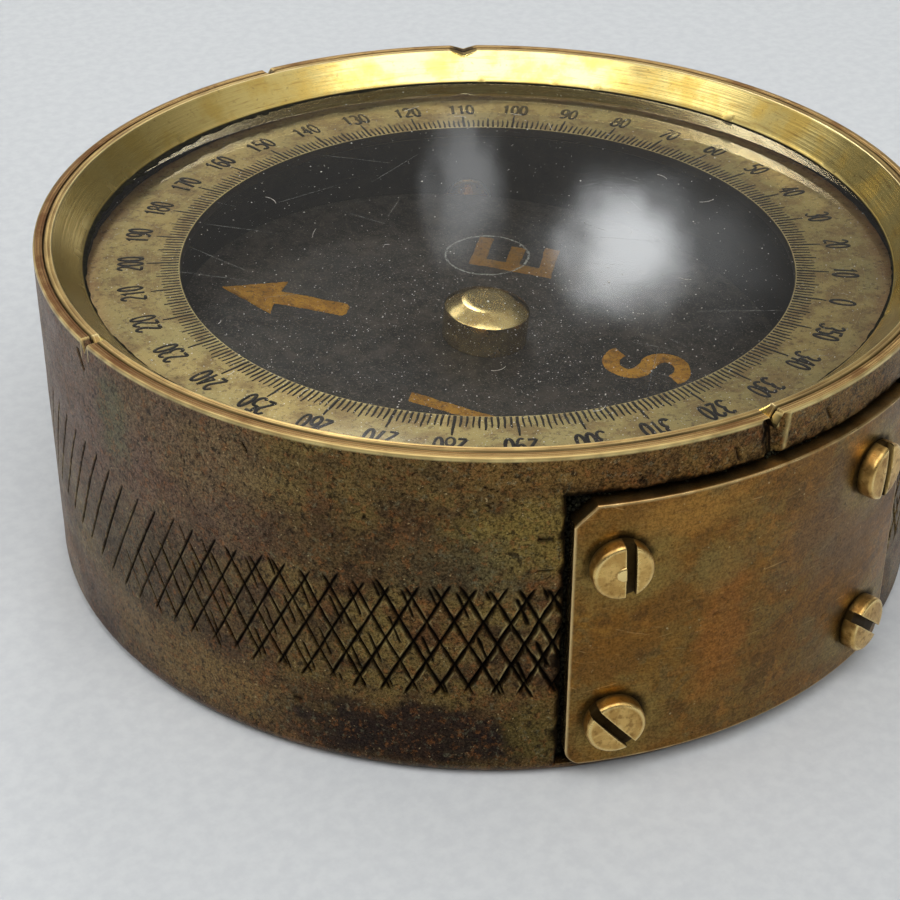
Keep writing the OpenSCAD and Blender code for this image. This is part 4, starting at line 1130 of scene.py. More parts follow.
def figure_parts(text, az, r_mid, high, wide, weight, seed):
    a = math.radians(az)
    er = np.array([math.cos(a), math.sin(a)])
    et = np.array([-math.sin(a), math.cos(a)])
    out = []
    step = wide + 0.20
    total = step * len(text) - 0.20
    jig = lambda k, s: float(hashed(np.array([k]), np.array([s]), seed)[0]) - 0.5
    for k, ch in enumerate(text):
        x0 = -total / 2 + k * step + 0.05 * jig(k, 1)
        y0 = 0.10 * jig(k, 2)
        for pts, closed in digit_strokes(ch):
            x = x0 + pts[:, 0] / 0.5 * wide
            y = y0 + (pts[:, 1] - 0.5) * high * (1 + 0.05 * jig(k, 3))
            q = er * r_mid + np.outer(y, er) - np.outer(x, et)
            w = weight * (1 + 0.25 * jig(k, 4)) * (0.9 + 0.2 * np.sin(np.linspace(0, 3 + 3 * jig(k, 5), len(q))))
            out.append(ribbon(q, w, INLAY_Z0, INLAY_Z1, closed))
    return out


def build_scale():
    ticks = []
    for i in range(360):
        az = SCALE_ZERO + i
        h = lambda s: float(hashed(np.array([i]), np.array([s]), 71)[0]) - 0.5
        if i % 10 == 0:
            r1, w = 23.55 + 0.25 * h(1), 0.20
        elif i % 5 == 0:
            r1, w = 22.95 + 0.12 * h(1), 0.17
        else:
            r1, w = 22.68 + 0.12 * h(1), 0.155
        w *= 1 + 0.3 * h(2)
        a = math.radians(az + 0.10 * h(3))
        er = np.array([math.cos(a), math.sin(a)])
        et = np.array([-er[1], er[0]])
        rr = np.linspace(21.42, r1, 5)
        q = np.outer(rr, er) + np.outer(0.02 * np.sin(rr * 5 + i), et)
        ww = w * np.array([1.0, 1.0, 0.95, 0.85, 0.5])
        ticks.append(ribbon(q, ww, INLAY_Z0, INLAY_Z1))
    V, F = join_parts(ticks)
    ob = make_mesh("degree_ticks", V, F, False)
    outward(ob)
    dress(ob, "inlay", "case", "ring_brass")
    figs = []
    for k in range(36):
        text = str(k * 10)
        figs += figure_parts(text, SCALE_ZERO + 10 * k, 24.75, 1.62, 0.50 if len(text) > 1 else 0.62, 0.235, 100 + k)
    V, F = join_parts(figs)
    ob = make_mesh("degree_figures", V, F, False)
    outward(ob)
    dress(ob, "inlay", "case", "ring_brass")


build_scale()


# ------------------------------------------------------------------ side plate
def build_plate():
    half = math.radians(PLATE_HALF) * R_CASE
    z0, z1 = PLATE_Z0, PLATE_Z1
    edge = [0.0, 0.02, 0.05, 0.09, 0.14, 0.22, 0.4]
    zin = list(z0 + np.array(edge)) + list(np.linspace(z0 + 0.6, z1 - 0.6, 86)) + list(z1 - np.array(edge[::-1]))
    zz = np.array(sorted(zin))
    fr = np.array(edge)
    nu = 170
    mid = np.linspace(0.6, 2 * half - 0.6, nu)
    uu = np.concatenate([fr, mid, 2 * half - fr[::-1]]) / (2 * half)
    def left(z):
        s = np.zeros_like(z)
        k = z - z0
        s = np.where(k < 1.2, 1.2 - np.sqrt(np.clip(1.2 ** 2 - (1.2 - k) ** 2, 0, None)), s)
        c = z - (z1 - 1.34)
        return np.maximum(s, np.clip(c, 0, None))
    def right(z):
        k = z - z0
        s = np.where(k < 1.2, 1.2 - np.sqrt(np.clip(1.2 ** 2 - (1.2 - k) ** 2, 0, None)), 0.0)
        k2 = z1 - z
        return np.maximum(s, np.where(k2 < 0.25, 0.25 - np.sqrt(np.clip(0.25 ** 2 - (0.25 - k2) ** 2, 0, None)), 0.0))
    U, Z = np.meshgrid(uu, zz, indexing="ij")
    L, Rt = -half + left(Z), half - right(Z)
    T = L + U * (Rt - L)
    dist = np.minimum(np.minimum(T - L, Rt - T), np.minimum(Z - z0, z1 - Z))
    # distance to the clipped corner's slanted edge
    dist = np.minimum(dist, np.maximum(0, ((T + half) - (Z - (z1 - 1.34))) / math.sqrt(2)))
    rad = 0.13
    drop = np.where(dist < rad, rad - np.sqrt(np.clip(rad ** 2 - (rad - dist) ** 2, 0, None)), 0)
    az = np.radians(PLATE_AZ) + T / R_CASE
    wave = 0.020 * vnoise(T * 0.35 + 40, Z * 0.35, 51) + 0.008 * vnoise(T * 0.5 + 40, Z * 3.0, 52)
    r = PLATE_OUT - drop - wave * np.clip(dist / 0.3, 0, 1)
    wear_and_highlight = np.clip(1 - np.abs(dist - 0.07) / 0.10, 0, 1) * (0.35 + 0.65 * vnoise(T * 1.6 + 60, Z * 1.6, 53))
    wear_and_highlight = np.maximum(wear_and_highlight, np.clip(1 - (T + half) / 0.2, 0, 1) * 0.85)
    groove = np.zeros_like(Z)
    for a0, zc, q, off in SCREWS:
        ts = math.radians(a0 - PLATE_AZ) * R_CASE
        d = np.hypot(T - ts, Z - zc)
        ang = np.arctan2(Z - zc, T - ts)
        k = vnoise((ang + math.pi) / (2 * math.pi) * 24, T * 0, 54 + int(zc), 24)
        g = np.clip(1 - (d - 1.93) / (0.16 + 0.42 * k), 0, 1) * np.clip(0.45 + 0.8 * k, 0, 1)
        # darker at the lower right of each head, and above it
        g = g * (0.75 + 0.35 * np.cos(ang - math.radians(60)))
        groove = np.maximum(groove, np.where(d > 1.25, np.clip(g, 0, 0.92), 0.9))
        r = r - 0.05 * np.clip(1 - np.abs(d - 2.0) / 0.25, 0, 1)
    marks = [(-7.6, 7.0, -7.0, 5.9, .12), (-6.2, 6.9, -5.2, 6.85, .16), (1.2, 3.2, 2.0, 2.9, .10), (3.4, 12.5, 4.6, 12.3, .07),
             (-4.0, 11.0, -2.8, 11.1, .08), (-3.5, 17.2, -2.0, 17.0, .07), (5.0, 7.0, 6.1, 6.8, .09), (-9.8, 9.6, -9.7, 9.5, .2), (-6.8, 13.2, -6.7, 13.1, .2)]
    for t0, za, t1, zb, w in marks:
        s = stroke(T, Z, t0, za, t1, zb, w)
        r = r - 0.04 * s
        groove = np.maximum(groove, s * 0.5)
    n, m = len(uu), len(zz)
    front = np.stack([r * np.cos(az), r * np.sin(az), Z], -1).reshape(-1, 3)
    rb = RECESS_R + 0.01
    back = np.stack([rb * np.cos(az), rb * np.sin(az), Z], -1).reshape(-1, 3)
    F1 = grid_faces(n, m, False, False)
    F2 = grid_faces(n, m, False, False, flip=True) + n * m
    loop = [i * m for i in range(n)] + [(n - 1) * m + j for j in range(1, m)] + [i * m + m - 1 for i in range(n - 2, -1, -1)] + [j for j in range(m - 2, 0, -1)]
    loop = np.array(loop)
    nxt = np.roll(loop, -1)
    S = np.stack([nxt, loop, loop + n * m, nxt + n * m], -1)
    V = np.vstack([front, back])
    at = {"wear_and_highlight": np.concatenate([wear_and_highlight.ravel(), wear_and_highlight.ravel() * 0.6]), "groove": np.concatenate([groove.ravel(), groove.ravel() * 0])}
    ob = make_mesh("patch_plate", V, [F1, F2, S], True, at, 50)
    outward(ob)
    dress(ob, "plate", "case", "plate_brass", "side_plate")


build_plate()


# ------------------------------------------------------------------ screws
def slotted_head(name, r, h, slot_w, slot_d, under, seed, off, pip):
    """A turned cheese-head screw lying along +X, with a sawn slot along Z. The head stands from x = 0 to h."""
    prof = [(0, -under), (r * 0.6, -under), (r - 0.10, -under), (r - 0.03, -under + 0.04), (r, -under + 0.1), (r, 0.35), (r, h - 0.34)]
    for q in range(1, 7):
        a = q / 6 * math.pi / 2 * 0.86
        prof.append((r - 0.27 * (1 - math.cos(a)), h - 0.34 + 0.27 * math.sin(a)))
    re, ze = prof[-1]
    for q in (0.93, 0.84, 0.72, 0.58, 0.42) + (() if pip else (0.26,)):
        prof.append((re * q, h - (h - ze) * q ** 2.2))
    if pip:
        # the pip that the parting tool left in the middle
        prof += [(0.5, h - 0.01), (0.45, h + 0.05), (0.36, h + 0.085), (0.2, h + 0.1), (0, h + 0.102)]
    else:
        prof += [(0.2, h), (0, h)]
    def wob(A, Rr, Z):
        k = 0.022 * (vnoise(A / (2 * math.pi) * 9, Z * 0 + seed, 131, 9) - 0.5)
        turned = 0.007 * vnoise(A * 0, Rr * 13 + seed, 132)
        return Rr + k * (Rr > r * 0.8), Z - turned * (Z > h - 0.1)
    ob = lathe(name, prof, 128, wob, sharp_deg=60)
    outward(ob)
    ob.data.transform(Matrix.Rotation(math.pi / 2, 4, "Y"))
    bm = bmesh.new()
    bmesh.ops.create_cube(bm, size=1.0)
    bmesh.ops.scale(bm, vec=(slot_d * 2 * MM, slot_w * MM, r * 3 * MM), verts=bm.verts)
    bmesh.ops.translate(bm, verts=bm.verts, vec=(h * MM, off * MM, 0))
    cme = bpy.data.meshes.new(name + "_cut")
    bm.to_mesh(cme)
    bm.free()
    cut = bpy.data.objects.new(name + "_cut", cme)
    bpy.context.scene.collection.objects.link(cut)
    mod = ob.modifiers.new("slot", "BOOLEAN")
    mod.object, mod.operation, mod.solver = cut, "DIFFERENCE", "EXACT"
    bv = ob.modifiers.new("edge", "BEVEL")
    bv.width, bv.segments, bv.limit_method, bv.angle_limit = 0.045 * MM, 2, "ANGLE", math.radians(50)
    bv.harden_normals = False
    bpy.context.view_layer.update()
    dg = bpy.context.evaluated_depsgraph_get()
    new = bpy.data.meshes.new_from_object(ob.evaluated_get(dg))
    ob.modifiers.clear()
    ob.data = new
    bpy.data.objects.remove(cut)
    return ob


def build_screws():
    obs = []
    for i, (a0, zc, q, off) in enumerate(SCREWS):
        ob = slotted_head(f"plate_screw_{i + 1}", 1.9, 1.1, 0.66, 0.6, 0.05, 3.0 * i, off, i == 0)
        me = ob.data
        co = np.zeros(len(me.vertices) * 3, np.float32)
        me.vertices.foreach_get("co", co)
        co = co.reshape(-1, 3) * 1000
        d = np.hypot(co[:, 1], co[:, 2])
        # worn bright edges, darkened in the slot and round the foot
        ang = np.arctan2(co[:, 2], co[:, 1])
        k = vnoise((ang + math.pi) / (2 * math.pi) * 10, co[:, 0] * 0 + i, 141, 10)
        wear_and_highlight = (np.clip(1 - np.abs(d - 1.73) / 0.13, 0, 1) * (co[:, 0] > 0.85) * (0.2 + 0.8 * k)).astype(np.float32)
        lip = (np.abs(np.abs(co[:, 1] - off) - 0.35) < 0.05) & (co[:, 0] > 0.85)
        wear_and_highlight = np.maximum(wear_and_highlight, lip * 0.55).astype(np.float32)
        if i == 0:
            wear_and_highlight = np.maximum(wear_and_highlight, np.where((d < 0.52) & (co[:, 0] > 1.1), 0.85, 0.0)).astype(np.float32)
        slot = ((np.abs(co[:, 1] - off) < 0.335) & (co[:, 0] < 0.99)).astype(np.float32)
        slot = np.maximum(slot, np.clip(1 - (co[:, 0] - 0.05) / (0.12 + 0.3 * k), 0, 1) * 0.85)
        at = me.attributes.new("wear_and_highlight", "FLOAT", "POINT")
        at.data.foreach_set("value", wear_and_highlight)
        at = me.attributes.new("groove", "FLOAT", "POINT")
        at.data.foreach_set("value", slot * 0.92)
        a = math.radians(a0)
        M = Matrix.Rotation(a, 4, "Z") @ Matrix.Translation((PLATE_OUT * MM, 0, zc * MM)) @ Matrix.Rotation(math.radians(q), 4, "X")
        me.transform(M)
        me.polygons.foreach_set("use_smooth", np.ones(len(me.polygons), bool))
        me.set_sharp_from_angle(angle=math.radians(46))
        obs.append(ob)
    for i, ob in enumerate(obs):
        ob.data.materials.clear()
        ob.data.materials.append(MAT["screw"])
        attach(ob, "case")
        if i == 0:
            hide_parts("side_plate_screws")


build_screws()


# ------------------------------------------------------------------ knob of the card lock, on the far side
def build_knob():
    prof = [(0, 22.92), (0.9, 22.92), (1.0, 23.02), (1.0, 31.2), (1.5, 31.2), (1.6, 31.26), (1.6, 31.6), (2.25, 31.6), (2.36, 31.66), (2.4, 31.76),
            (2.4, 32.2), (2.4, 32.6), (2.4, 32.8), (2.36, 32.9), (2.2, 33.04), (2.0, 33.16), (1.8, 33.2), (1.2, 33.18), (0.5, 33.15), (0, 33.14)]
    def wob(A, Rr, Z):
        cut = np.abs(np.sin(A * 20)) ** 0.8
        return np.where((Rr > 2.2) & (Z > 31.62), Rr - 0.13 * (1 - cut), Rr), Z
    ob = lathe("lock_button", prof, 480, wob, sharp_deg=35)
    outward(ob)
    M = Matrix.Rotation(math.radians(LOCK_AZ), 4, "Z") @ Matrix.Translation((0, 0, KNOB_Z * MM)) @ Matrix.Rotation(math.pi / 2, 4, "Y")
    ob.data.transform(M)
    dress(ob, "knob", "knob", "knob_brass", "lock_knob")


build_knob()


# ------------------------------------------------------------------ card
def build_card():
    n = 360
    rows = [(2.02, 12.32), (2.02, 12.78), (2.06, 12.8), (8, 12.8), (15, 12.8), (21.9, 12.8), (21.97, 12.77), (22.0, 12.7), (22.0, 12.36), (21.95, 12.3), (12, 12.3), (2.08, 12.3)]
    def wob(A, Rr, Z):
        k = np.clip((Rr - 4) / 17, 0, 1)
        s = 0.035 * (vnoise(A / (2 * math.pi) * 9, Rr * 0.12, 61, 9) - 0.5) * k
        return Rr, Z + s
    ob = lathe("card_disc", rows, n, wob)
    outward(ob)
    ob.data.transform(Matrix.Translation((0, 0, 0)))
    ob.data.transform(scaled(CARD))
    dress(ob, "card", "card", "card_black", "compass_card")


def scaled(M):
    """The millimetre matrix M as one for metres."""
    M = M.copy()
    for i in range(3):
        M[i][3] *= MM
    return M


def painted(outlines, name, node, seed):
    """Hand-painted marks on the card: closed outlines in card millimetres, with a soft edge."""
    bm = bmesh.new()
    for k, pts in enumerate(outlines):
        p = resample(np.asarray(pts, float), 0.14)
        n = len(p)
        d = np.roll(p, -1, 0) - np.roll(p, 1, 0)
        d /= np.maximum(np.linalg.norm(d, axis=1, keepdims=True), 1e-9)
        nrm = np.stack([d[:, 1], -d[:, 0]], -1)
        area = 0.5 * np.sum(p[:, 0] * np.roll(p[:, 1], -1) - np.roll(p[:, 0], -1) * p[:, 1])
        if area < 0:
            nrm = -nrm
        s = np.arange(n) * 0.14
        j = 0.09 * (vnoise(s * 1.1, s * 0, seed + k) - 0.5) + 0.05 * (vnoise(s * 3.5, s * 0, seed + 5 + k) - 0.5)
        p = p + nrm * j[:, None]
        low = [bm.verts.new((x * MM, y * MM, (CARD_TOP + 0.015) * MM)) for x, y in p]
        mid = [bm.verts.new((x * MM, y * MM, (CARD_TOP + 0.05) * MM)) for x, y in p - nrm * 0.03]
        top = [bm.verts.new((x * MM, y * MM, (CARD_TOP + 0.078) * MM)) for x, y in p - nrm * 0.10]
        for a, b in ((low, mid), (mid, top)):
            for i in range(n):
                bm.faces.new((a[i], a[(i + 1) % n], b[(i + 1) % n], b[i]))
        f1 = bm.faces.new(top)
        f2 = bm.faces.new(low[::-1])
        bm.normal_update()
        bmesh.ops.triangulate(bm, faces=[f1, f2], ngon_method="EAR_CLIP")
    bmesh.ops.recalc_face_normals(bm, faces=bm.faces)
    me = bpy.data.meshes.new(name)
    bm.to_mesh(me)
    bm.free()
    me.transform(scaled(CARD))
    me.polygons.foreach_set("use_smooth", np.ones(len(me.polygons), bool))
    me.set_sharp_from_angle(angle=math.radians(50))
    ob = bpy.data.objects.new(name, me)
    bpy.context.scene.collection.objects.link(ob)
    return dress(ob, "paint", "card", "luminous_paint", node)


def resample(p, step):
    q = np.vstack([p, p[:1]])
    seg = np.linalg.norm(np.diff(q, axis=0), axis=1)
    s = np.r_[0, np.cumsum(seg)]
    n = max(8, int(s[-1] / step))
    u = np.linspace(0, s[-1], n, endpoint=False)
    return np.stack([np.interp(u, s, q[:, 0]), np.interp(u, s, q[:, 1])], -1)


def s_outline():
    def pt(t):
        if t < 0.5:
            a = math.radians(35 + 235 * t * 2)
            return np.array([1.5 * math.cos(a), 1.32 + 1.25 * math.sin(a)])
        a = math.radians(90 - 235 * (t - 0.5) * 2)
        return np.array([1.5 * math.cos(a), -1.32 + 1.25 * math.sin(a)])
    def side(t, d):
        a, b = pt(max(0, t - 0.012)), pt(min(1, t + 0.012))
        u = (b - a) / np.linalg.norm(b - a)
        return pt(t) + d * np.array([-u[1], u[0]])
    N = 60
    return np.array([side(i / N, 0.6) for i in range(N + 1)] + [side(i / N, -0.6) for i in range(N, -1, -1)]) + [0, -11.8]


def build_marks():
    arrow = [(0, 19.55), (2.45, 15.15), (0.9, 15.3), (0.85, 10.3), (0.45, 10.02), (-0.45, 10.02), (-0.85, 10.3), (-0.9, 15.3), (-2.45, 15.15)]
    painted([arrow], "north_arrow", "north_arrow_paint", 200)
    e = np.array([(-2.27, -3.17), (2.27, -3.17), (2.27, -2.03), (-1.05, -2.03), (-1.05, -0.55), (1.57, -0.55), (1.57, 0.55), (-1.05, 0.55),
                  (-1.05, 2.03), (2.27, 2.03), (2.27, 3.17), (-2.27, 3.17)]) + [12.3, 0]
    w = np.array([(-2.87, 3.27), (-1.72, 3.27), (-1.1, -0.9), (-0.45, 2.2), (0.45, 2.2), (1.1, -0.9), (1.72, 3.27), (2.87, 3.27),
                  (1.75, -3.17), (0.6, -3.17), (0, -0.1), (-0.6, -3.17), (-1.75, -3.17)]) + [-12, 0]
    painted([s_outline(), e, w], "card_letters", "letter_paint", 210)


def build_cap():
    t = CARD_TOP
    prof = [(1.46, t - 1.48), (1.5, t - 1.5), (1.96, t - 1.5), (2.0, t - 1.46), (2.0, t + 0.01), (3.0, t + 0.01), (3.05, t + 0.06), (3.05, t + 1.2), (3.05, t + 2.22), (3.03, t + 2.30),
            (2.97, t + 2.36), (2.5, t + 2.585), (1.98, t + 2.83), (1.90, t + 2.87), (1.82, t + 2.895), (1.2, t + 2.9), (0.5, t + 2.9), (0.02, t + 2.9),
            (0.02, t + 2.13), (1.44, t + 2.1), (1.46, t + 2.05)]
    def wob(A, Rr, Z):
        return Rr - 0.012 * vnoise(A / (2 * math.pi) * 12, Z * 1.5, 66, 12) * (Rr > 2.9), Z
    ob = lathe("cap_body", prof, 192, wob, sharp_deg=28)
    outward(ob)
    ob.data.transform(scaled(CARD))
    dress(ob, "cap", "card", "cap_brass", "card_cap")


build_card()
build_marks()
build_cap()


# ------------------------------------------------------------------ grime, dust and wear
def blob(centre, size, flat, seed, up=None, n=7):
    """A small irregular flake: a closed low dome."""
    rng = np.random.default_rng(seed)
    a = np.linspace(0, 2 * math.pi, n, endpoint=False) + rng.uniform(0, 6)
    rr = size * rng.uniform(0.6, 1.15, n)
    asp = rng.uniform(0.55, 1.0)
    rot = rng.uniform(0, math.pi)
    x, y = rr * np.cos(a), rr * np.sin(a) * asp
    x, y = x * math.cos(rot) - y * math.sin(rot), x * math.sin(rot) + y * math.cos(rot)
    base = np.stack([x, y, np.zeros(n)], -1)
    mid = np.stack([x * 0.65, y * 0.65, np.full(n, flat * 0.75)], -1)
    V = np.vstack([base, mid, [[0, 0, flat]], [[0, 0, 0]]])
    i = np.arange(n)
    j = (i + 1) % n
    T = np.vstack([np.stack([i, j, n + j], -1), np.stack([i, n + j, n + i], -1),
                   np.stack([n + i, n + j, np.full(n, 2 * n)], -1), np.stack([j, i, np.full(n, 2 * n + 1)], -1)])
    return V + np.asarray(centre), T


def build_dust():
    rng = np.random.default_rng(5)
    parts = []
    for k in range(4200):
        r = 27.3 * math.sqrt(rng.uniform(0, 1))
        a = rng.uniform(0, 2 * math.pi)
        if k % 5 > 1:
            # a thicker drift toward the near side
            a = math.radians(-122.7 + rng.normal(0, 44))
            r = 5 + 22.0 * rng.uniform(0, 1) ** 0.7
        size = 0.018 + 0.05 * rng.uniform(0, 1) ** 4
        if k % 60 == 0:
            size *= 1.7
        parts.append(blob((r * math.cos(a), r * math.sin(a), GLASS_TOP - 0.001), size, size * 0.5, 1000 + k, n=6))
    V, F = join_parts(parts)
    ob = make_mesh("glass_dust", V, F, True)
    dress(ob, "dust", "case", "glass")
    # short fibres
    parts = []
    for k in range(16):
        r = 25 * math.sqrt(rng.uniform(0.02, 1))
        a = rng.uniform(0, 2 * math.pi)
        c = np.array([r * math.cos(a), r * math.sin(a)])
        L, d0, bend = rng.uniform(0.4, 1.7), rng.uniform(0, 6.28), rng.uniform(-1.6, 1.6)
        s = np.linspace(-0.5, 0.5, 12)
        th = d0 + bend * s
        q = c + np.cumsum(np.stack([np.cos(th), np.sin(th)], -1), 0) * L / 12
        parts.append(ribbon(q, 0.028, GLASS_TOP - 0.001, GLASS_TOP + 0.018))
    V, F = join_parts(parts)
    ob = make_mesh("glass_fibres", V, F, False)
    dress(outward(ob), "dust", "case", "glass")
    # scratches in the top of the glass
    parts = []
    for k in range(34):
        r = 27 * math.sqrt(rng.uniform(0.0, 1))
        a = rng.uniform(0, 2 * math.pi)
        c = np.array([r * math.cos(a), r * math.sin(a)])
        L, th = rng.uniform(1.5, 7.0), rng.uniform(0, 3.14)
        u = np.array([math.cos(th), math.sin(th)])
        q = c + np.outer(np.linspace(-L / 2, L / 2, 8), u)
        q = q * np.minimum(1, 27.4 / np.maximum(np.linalg.norm(q, axis=1), 1e-6))[:, None]
        parts.append(ribbon(q, np.array([0.004, 0.012, 0.018, 0.02, 0.02, 0.018, 0.012, 0.004]), GLASS_TOP - 0.001, GLASS_TOP + 0.003))
    V, F = join_parts(parts)
    ob = make_mesh("glass_scratches", V, F, False)
    dress(outward(ob), "scratch", "case", "glass")


def build_glass_edge():
    """A dark strip along the foot of the bevel, on the glass."""
    n = 1440
    a = np.arange(n) * 2 * math.pi / n
    k = vnoise(a / (2 * math.pi) * 300, a * 0, 81, 300)
    k2 = vnoise(a / (2 * math.pi) * 60, a * 0, 82, 60)
    far = np.clip(np.cos(a - math.radians(108)), 0, 1) ** 3
    w = 0.05 + 0.10 * k + 0.14 * np.clip(k2 - 0.55, 0, 1) * 2 + far * (0.24 + 0.6 * k2 * k)
    h = 0.035 + 0.05 * k
    rows = np.stack([
        np.stack([np.full(n, 27.83), np.full(n, 21.795)], -1),
        np.stack([np.full(n, 27.83), 21.80 + h], -1),
        np.stack([27.81 - 0.4 * w, 21.80 + 0.8 * h], -1),
        np.stack([27.81 - w, np.full(n, 21.795)], -1)], 1)
    V = np.stack([rows[..., 0] * np.cos(a)[:, None], rows[..., 0] * np.sin(a)[:, None], rows[..., 1]], -1)
    ob = make_mesh("glass_edge_dark_strip", V, [grid_faces(n, 4)], True, None, 60)
    dress(outward(ob), "dark_fill", "case", "packing")


def build_wear_ring():
    """The faint ring that the raised cap has rubbed on the underside of the glass."""
    c = polar(-122.7, 0.65, 0)[:2]
    n = 160
    a = np.arange(n) * 2 * math.pi / n
    k = vnoise(a / (2 * math.pi) * 40, a * 0, 91, 40)
    r1 = 2.93 + 0.05 * k
    r0 = r1 - 0.10 - 0.10 * vnoise(a / (2 * math.pi) * 60, a * 0, 92, 60)
    rows = [(r0, 19.592), (r1, 19.592), (r1, 19.598), (r0, 19.598)]
    V = np.stack([np.stack([c[0] + r * np.cos(a), c[1] + r * np.sin(a), np.full(n, z)], -1) for r, z in rows], 1)
    ob = make_mesh("cap_wear_ring", V, [grid_faces(n, 4)], False)
    dress(outward(ob), "wear_ring", "case", "glass")


def build_recess_shadow_fill():
    """Dark crumbs in the gap round the side plate, a painted shadow in the gap."""
    rng = np.random.default_rng(17)
    parts = []
    def place(t, z, size, seed):
        a = math.degrees(t / R_CASE) + PLATE_AZ
        V, T = blob((0, 0, 0), size, size * 0.9, seed, n=6)
        # local z out along the radius
        ar = math.radians(a)
        er, et = np.array([math.cos(ar), math.sin(ar), 0]), np.array([-math.sin(ar), math.cos(ar), 0])
        base = RECESS_R - 0.05 + rng.uniform(0.0, 0.42)
        P = er * base + np.outer(V[:, 0], et) + np.outer(V[:, 1], [0, 0, 1]) + np.outer(V[:, 2], er) + np.array([0, 0, z])
        parts.append((P, T))
    half = math.radians(PLATE_HALF) * R_CASE
    k = 0
    for t in np.arange(-half - 0.3, half + 0.3, 0.13):
        for q in range(2):
            place(t + rng.uniform(-0.05, 0.05), 20.8 + rng.uniform(-0.14, 0.16), rng.uniform(0.07, 0.17), 3000 + k)
            k += 1
    for z in np.arange(1.2, 20.6, 0.16):
        for q in range(2):
            place(-half - 0.19 + rng.uniform(-0.13, 0.13), z, rng.uniform(0.07, 0.16), 5000 + k)
            k += 1
    for q in range(60):
        u, v = rng.uniform(0, 1, 2)
        if u + v < 1:
            place(-half + 0.05 + 1.1 * u, 20.6 - 1.1 * v, rng.uniform(0.1, 0.2), 7000 + q)
    V, F = join_parts(parts)
    ob = make_mesh("recess_shadow_fill", V, F, True, None, 50)
    dress(ob, "dark_fill", "case", "packing")


build_dust()
build_glass_edge()
build_wear_ring()
build_recess_shadow_fill()


# ------------------------------------------------------------------ CAD pieces that keep their shape
for node, mat in {"base_plate": "base", "base_screws": "screw", "pivot_post": "inner", "pivot_needle": "steel", "cap_jewel": "jewel",
                  "cap_nut": "inner", "card_magnets": "magnet", "magnet_clips": "inner", "lifter_sleeve": "inner", "lock_lever": "inner",
                  "lever_bracket": "inner", "lever_pin": "steel", "bracket_screws": "screw", "knob_nut": "inner", "knob_spring_washer": "steel"}.items():
    dress_cad(node, mat)


# ------------------------------------------------------------------ floor, light, camera
def build_floor():
    n = 48
    half = 900.0
    x = np.linspace(-half, half, n)
    X, Y = np.meshgrid(x, x, indexing="ij")
    V = np.stack([X, Y, np.full_like(X, -0.01)], -1)
    ob = make_mesh("floor", V, [grid_faces(n, n, False, False)], True)
    m = Nodes("pale_floor")
    f = m.noise(0.9, 4, 0.6)
    c = m.mix(m.span(f, 0.3, 0.7), srgb(203, 208, 214), srgb(211, 216, 221))
    ob.data.materials.append(m.set(color=c, metal=0.0, rough=0.9, specular=0.2, normal=m.bump(f, 0.00005, 0.3)))


def lamp(name, where, target, size, size_y, power, colour=(1, 1, 1), soft=0.0, mottle=0.0, inside=True):
    """An area lamp. soft is the share of its half width over which it fades out. inside lets it light what is under the glass."""
    d = bpy.data.lights.new(name, "AREA")
    d.shape, d.size, d.size_y = "RECTANGLE", size, size_y
    d.energy, d.color = power, colour
    if soft:
        d.use_nodes = True
        nt = d.node_tree
        em = nt.nodes["Emission"]
        geo = nt.nodes.new("ShaderNodeNewGeometry")
        sub = nt.nodes.new("ShaderNodeVectorMath")
        sub.operation = "SUBTRACT"
        nt.links.new(geo.outputs["Parametric"], sub.inputs[0])
        sub.inputs[1].default_value = (0.5, 0.5, 0.0)
        dist = nt.nodes.new("ShaderNodeVectorMath")
        dist.operation = "LENGTH"
        nt.links.new(sub.outputs[0], dist.inputs[0])
        noise = nt.nodes.new("ShaderNodeTexNoise")
        noise.inputs["Scale"].default_value = 3.2
        noise.inputs["Detail"].default_value = 1.5
        nt.links.new(geo.outputs["Parametric"], noise.inputs["Vector"])
        add = nt.nodes.new("ShaderNodeMath")
        add.operation = "MULTIPLY_ADD"
        nt.links.new(noise.outputs["Fac"], add.inputs[0])
        add.inputs[1].default_value = mottle
        nt.links.new(dist.outputs["Value"], add.inputs[2])
        mr = nt.nodes.new("ShaderNodeMapRange")
        mr.interpolation_type = "SMOOTHERSTEP"
        nt.links.new(add.outputs[0], mr.inputs["Value"])
        mr.inputs["From Min"].default_value = 0.5 * (1 - soft) + 0.5 * mottle
        mr.inputs["From Max"].default_value = 0.5 + 0.5 * mottle
        mr.inputs["To Min"].default_value = 1.0
        mr.inputs["To Max"].default_value = 0.0
        nt.links.new(mr.outputs["Result"], em.inputs["Strength"])
    o = bpy.data.objects.new(name, d)
    o.location = where
    o.rotation_mode = "QUATERNION"
    o.rotation_quaternion = (Vector(target) - Vector(where)).to_track_quat("-Z", "Y")
    bpy.context.scene.collection.objects.link(o)
    o.visible_transmission = inside
    return o


EL, ROLL, YAW = 0.5724, 0.005, math.radians(-32.7)
BACK = Vector((0, -math.cos(EL), math.sin(EL)))
RIGHT0, UP0 = Vector((1, 0, 0)), Vector((0, math.sin(EL), math.cos(EL)))
RIGHT = math.cos(ROLL) * RIGHT0 + math.sin(ROLL) * UP0
UP = -math.sin(ROLL) * RIGHT0 + math.cos(ROLL) * UP0
WORLD_YAW = Matrix.Rotation(YAW, 4, "Z")
CAM_FIT = (RIGHT0 * -0.0814 + UP0 * -0.5261 + BACK * 4.621) * (R_CASE * MM)


def from_view(x, y, z):
    """A point given in the photograph's upright frame (x right, y away, z up, metres from the rim's centre)."""
    return WORLD_YAW @ (Vector((x, y, z))) + Vector((0, 0, H_CASE * MM))


